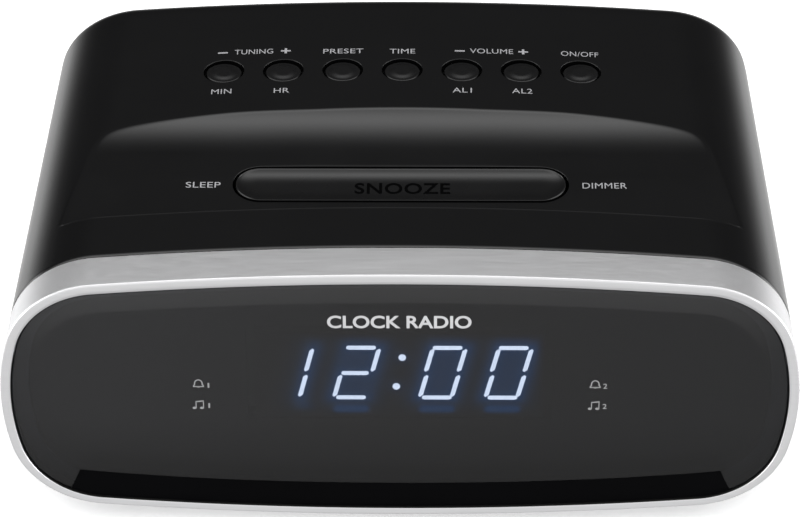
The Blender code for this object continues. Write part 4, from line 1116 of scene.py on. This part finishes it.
def note():
    items = []
    for dx in (-0.55, 0.75):
        e = [(dx - 0.28 + 0.36 * math.cos(a), -0.72 + 0.27 * math.sin(a) + 0.0) for a in np.linspace(0, 2 * math.pi, 18, endpoint=False)]
        items.append(("fill", e))
        items.append(("line", ribbon_of([(dx, -0.68), (dx, 0.1), (dx, 0.72 + (0.12 if dx > 0 else 0))], 0.17)))
    items.append(("fill", [(-0.63, 0.55), (0.83, 0.75), (0.83, 1.02), (-0.63, 0.82)]))
    return items


for side, cx, digit in (("one", -35.2, "1"), ("two", 34.2, "2")):
    strokes(f"icon_bell_{side}", bell(), cx, 3.0, PRINT_ICON)
    strokes(f"icon_notes_{side}", note(), cx, -1.75, PRINT_ICON)
    letters(f"icon_bell_number_{side}", digit, 0.30 if digit == "1" else 0.72, 1.15, on_window(cx + 1.75, 2.7), PRINT_ICON, "case", weight=0.01)
    letters(f"icon_notes_number_{side}", digit, 0.30 if digit == "1" else 0.72, 1.15, on_window(cx + 1.75, -1.9), PRINT_ICON, "case", weight=0.01)

# ------------------------------------------------------------------ finishes for the CAD pieces that stay
BY_SLOT = {"gloss_black_abs": GLOSS, "matte_black_abs": MATTE, "brushed_silver": SILVER, "smoked_acrylic": INNER, "inner_black_plastic": INNER,
           "circuit_board": PCB, "switch_body": SWITCH, "switch_plunger": PLUNGER, "steel": STEEL, "lamination_steel": IRON, "coil_tape": TAPE,
           "cone_paper": CONE, "rubber": RUBBER, "capacitor_sleeve": SLEEVE, "display_face": INNER, "ribbon": FLEX}
slot_of = {s["node"]: s["material_slot"] for s in frame["record"]["subparts"]}
for n, obj in frame["nodes"].items():
    mat = BY_SLOT[slot_of[n]]
    if not obj.data.materials:
        obj.data.materials.append(mat)
    for i in range(len(obj.data.materials)):
        obj.data.materials[i] = mat

# ------------------------------------------------------------------ studio
def stage_mat(name, colour, rough):
    m, nt, bsdf = new_mat(name)
    nt.links.new(mix_col(nt, noise(nt, coords(nt), 3.0, 2.0), colour, tuple(c * 0.985 for c in colour)), bsdf.inputs["Base Color"])
    bsdf.inputs["Roughness"].default_value = rough
    bsdf.inputs["Specular IOR Level"].default_value = 0.0
    bsdf.inputs["Emission Color"].default_value = (1.0, 1.0, 1.0, 1)
    bsdf.inputs["Emission Strength"].default_value = 0.2
    return m


floor = link("floor", skin("floor", [np.array([(-4000.0, y, 0), (4000.0, y, 0)]) for y in (-4000.0, 4000.0)], caps=False, wrap=False), stage_mat("floor_white", (0.93, 0.93, 0.93), 0.9))

world = bpy.data.worlds.new("studio")
bpy.context.scene.world = world
world.use_nodes = True
wt = world.node_tree
bg = wt.nodes["Background"]
tc = wt.nodes.new("ShaderNodeTexCoord")
sep = wt.nodes.new("ShaderNodeSeparateXYZ")
wt.links.new(tc.outputs["Generated"], sep.inputs["Vector"])


def wmath(op, a, b=0.0):
    m = wt.nodes.new("ShaderNodeMath")
    m.operation = op
    for i, v in enumerate((a, b)):
        if isinstance(v, (int, float)):
            m.inputs[i].default_value = v
        else:
            wt.links.new(v, m.inputs[i])
    return m.outputs["Value"]


# Brightness round the set by angle in the plane that runs from behind (0) over the top (90) to the front (180), and below: a dark flag
# behind, a soft strip overhead and towards the back, and lit paper in front.
TURN = [(-180, 1.05), (-160, 1.30), (-150, 0.90), (-142, 0.58), (-136, 0.50), (-90, 0.60), (-60, 0.80), (-42, 0.80), (-34, 0.80),
        (-30, 0.76), (-26, 0.88), (-21, 0.90), (-16, 0.68), (-8, 0.33), (0, 0.12), (10, 0.06), (24, 0.065), (32, 0.12), (37, 0.12), (41, 0.085), (46, 0.27), (51, 0.47),
        (56.5, 0.88), (62, 1.40), (67.5, 2.05), (73, 2.65), (79, 2.60), (84, 2.00), (90, 1.35), (98, 1.0), (150, 0.85), (180, 1.05)]
TURN_TOP = 3.0
angle = wmath("ARCTAN2", sep.outputs["Z"], sep.outputs["Y"])
place_01 = wmath("ADD", wmath("DIVIDE", angle, 2 * math.pi), 0.5)
ramp = wt.nodes.new("ShaderNodeValToRGB")
ramp.color_ramp.interpolation = "LINEAR"
els = ramp.color_ramp.elements
while len(els) > 1:
    els.remove(els[-1])
STOPS = TURN
if len(STOPS) > 32:
    raise RuntimeError("too many stops")
for i, (deg, val) in enumerate(STOPS):
    e = els[0] if i == 0 else els.new((deg + 180) / 360)
    e.position = (deg + 180) / 360
    e.color = (val / TURN_TOP, val / TURN_TOP, val / TURN_TOP, 1)
wt.links.new(place_01, ramp.inputs["Fac"])
# two low papers far out at the sides, near the horizon, which only broad sheens reach
SIDES = 4.4
out_x = wt.nodes.new("ShaderNodeMapRange")
out_x.interpolation_type = "SMOOTHSTEP"
out_x.inputs["From Min"].default_value = 0.70
out_x.inputs["From Max"].default_value = 0.90
out_x.inputs["To Min"].default_value = 0.0
out_x.inputs["To Max"].default_value = SIDES
wt.links.new(wmath("ABSOLUTE", sep.outputs["X"]), out_x.inputs["Value"])
low_z = wt.nodes.new("ShaderNodeMapRange")
low_z.interpolation_type = "SMOOTHSTEP"
low_z.inputs["From Min"].default_value = 0.12
low_z.inputs["From Max"].default_value = 0.34
low_z.inputs["To Min"].default_value = 1.0
low_z.inputs["To Max"].default_value = 0.0
wt.links.new(wmath("ABSOLUTE", wmath("SUBTRACT", sep.outputs["Z"], 0.04)), low_z.inputs["Value"])
papers = wmath("MULTIPLY", out_x.outputs["Result"], low_z.outputs["Result"])
wt.links.new(wmath("ADD", wmath("MULTIPLY", ramp.outputs["Color"], TURN_TOP), papers), bg.inputs["Strength"])
bg.inputs["Color"].default_value = (1.0, 1.0, 1.0, 1)
lp = wt.nodes.new("ShaderNodeLightPath")
bg2 = wt.nodes.new("ShaderNodeBackground")
bg2.inputs["Color"].default_value = (1.0, 1.0, 1.0, 1)
bg2.inputs["Strength"].default_value = 1.0
mixw = wt.nodes.new("ShaderNodeMixShader")
wt.links.new(lp.outputs["Is Camera Ray"], mixw.inputs["Fac"])
wt.links.new(bg.outputs["Background"], mixw.inputs[1])
wt.links.new(bg2.outputs["Background"], mixw.inputs[2])
wt.links.new(mixw.outputs["Shader"], wt.nodes["World Output"].inputs["Surface"])
# the gloss mirrors the studio above and not the sheet it stands on
floor.visible_glossy = False


def softbox(name, at, aim, size, power):
    l = bpy.data.lights.new(name, "AREA")
    l.shape = "RECTANGLE"
    l.size, l.size_y = size
    l.energy = power
    o = bpy.data.objects.new(name, l)
    SCENE.objects.link(o)
    o.location = at
    o.rotation_mode = "QUATERNION"
    o.rotation_quaternion = (Vector(aim) - Vector(at)).to_track_quat("-Z", "Y")
    o.visible_glossy = False
    return o


softbox("fill_overhead", (0.0, -0.2, 1.8), (0.0, 0.0, 0.0), (2.6, 2.6), 26.0)
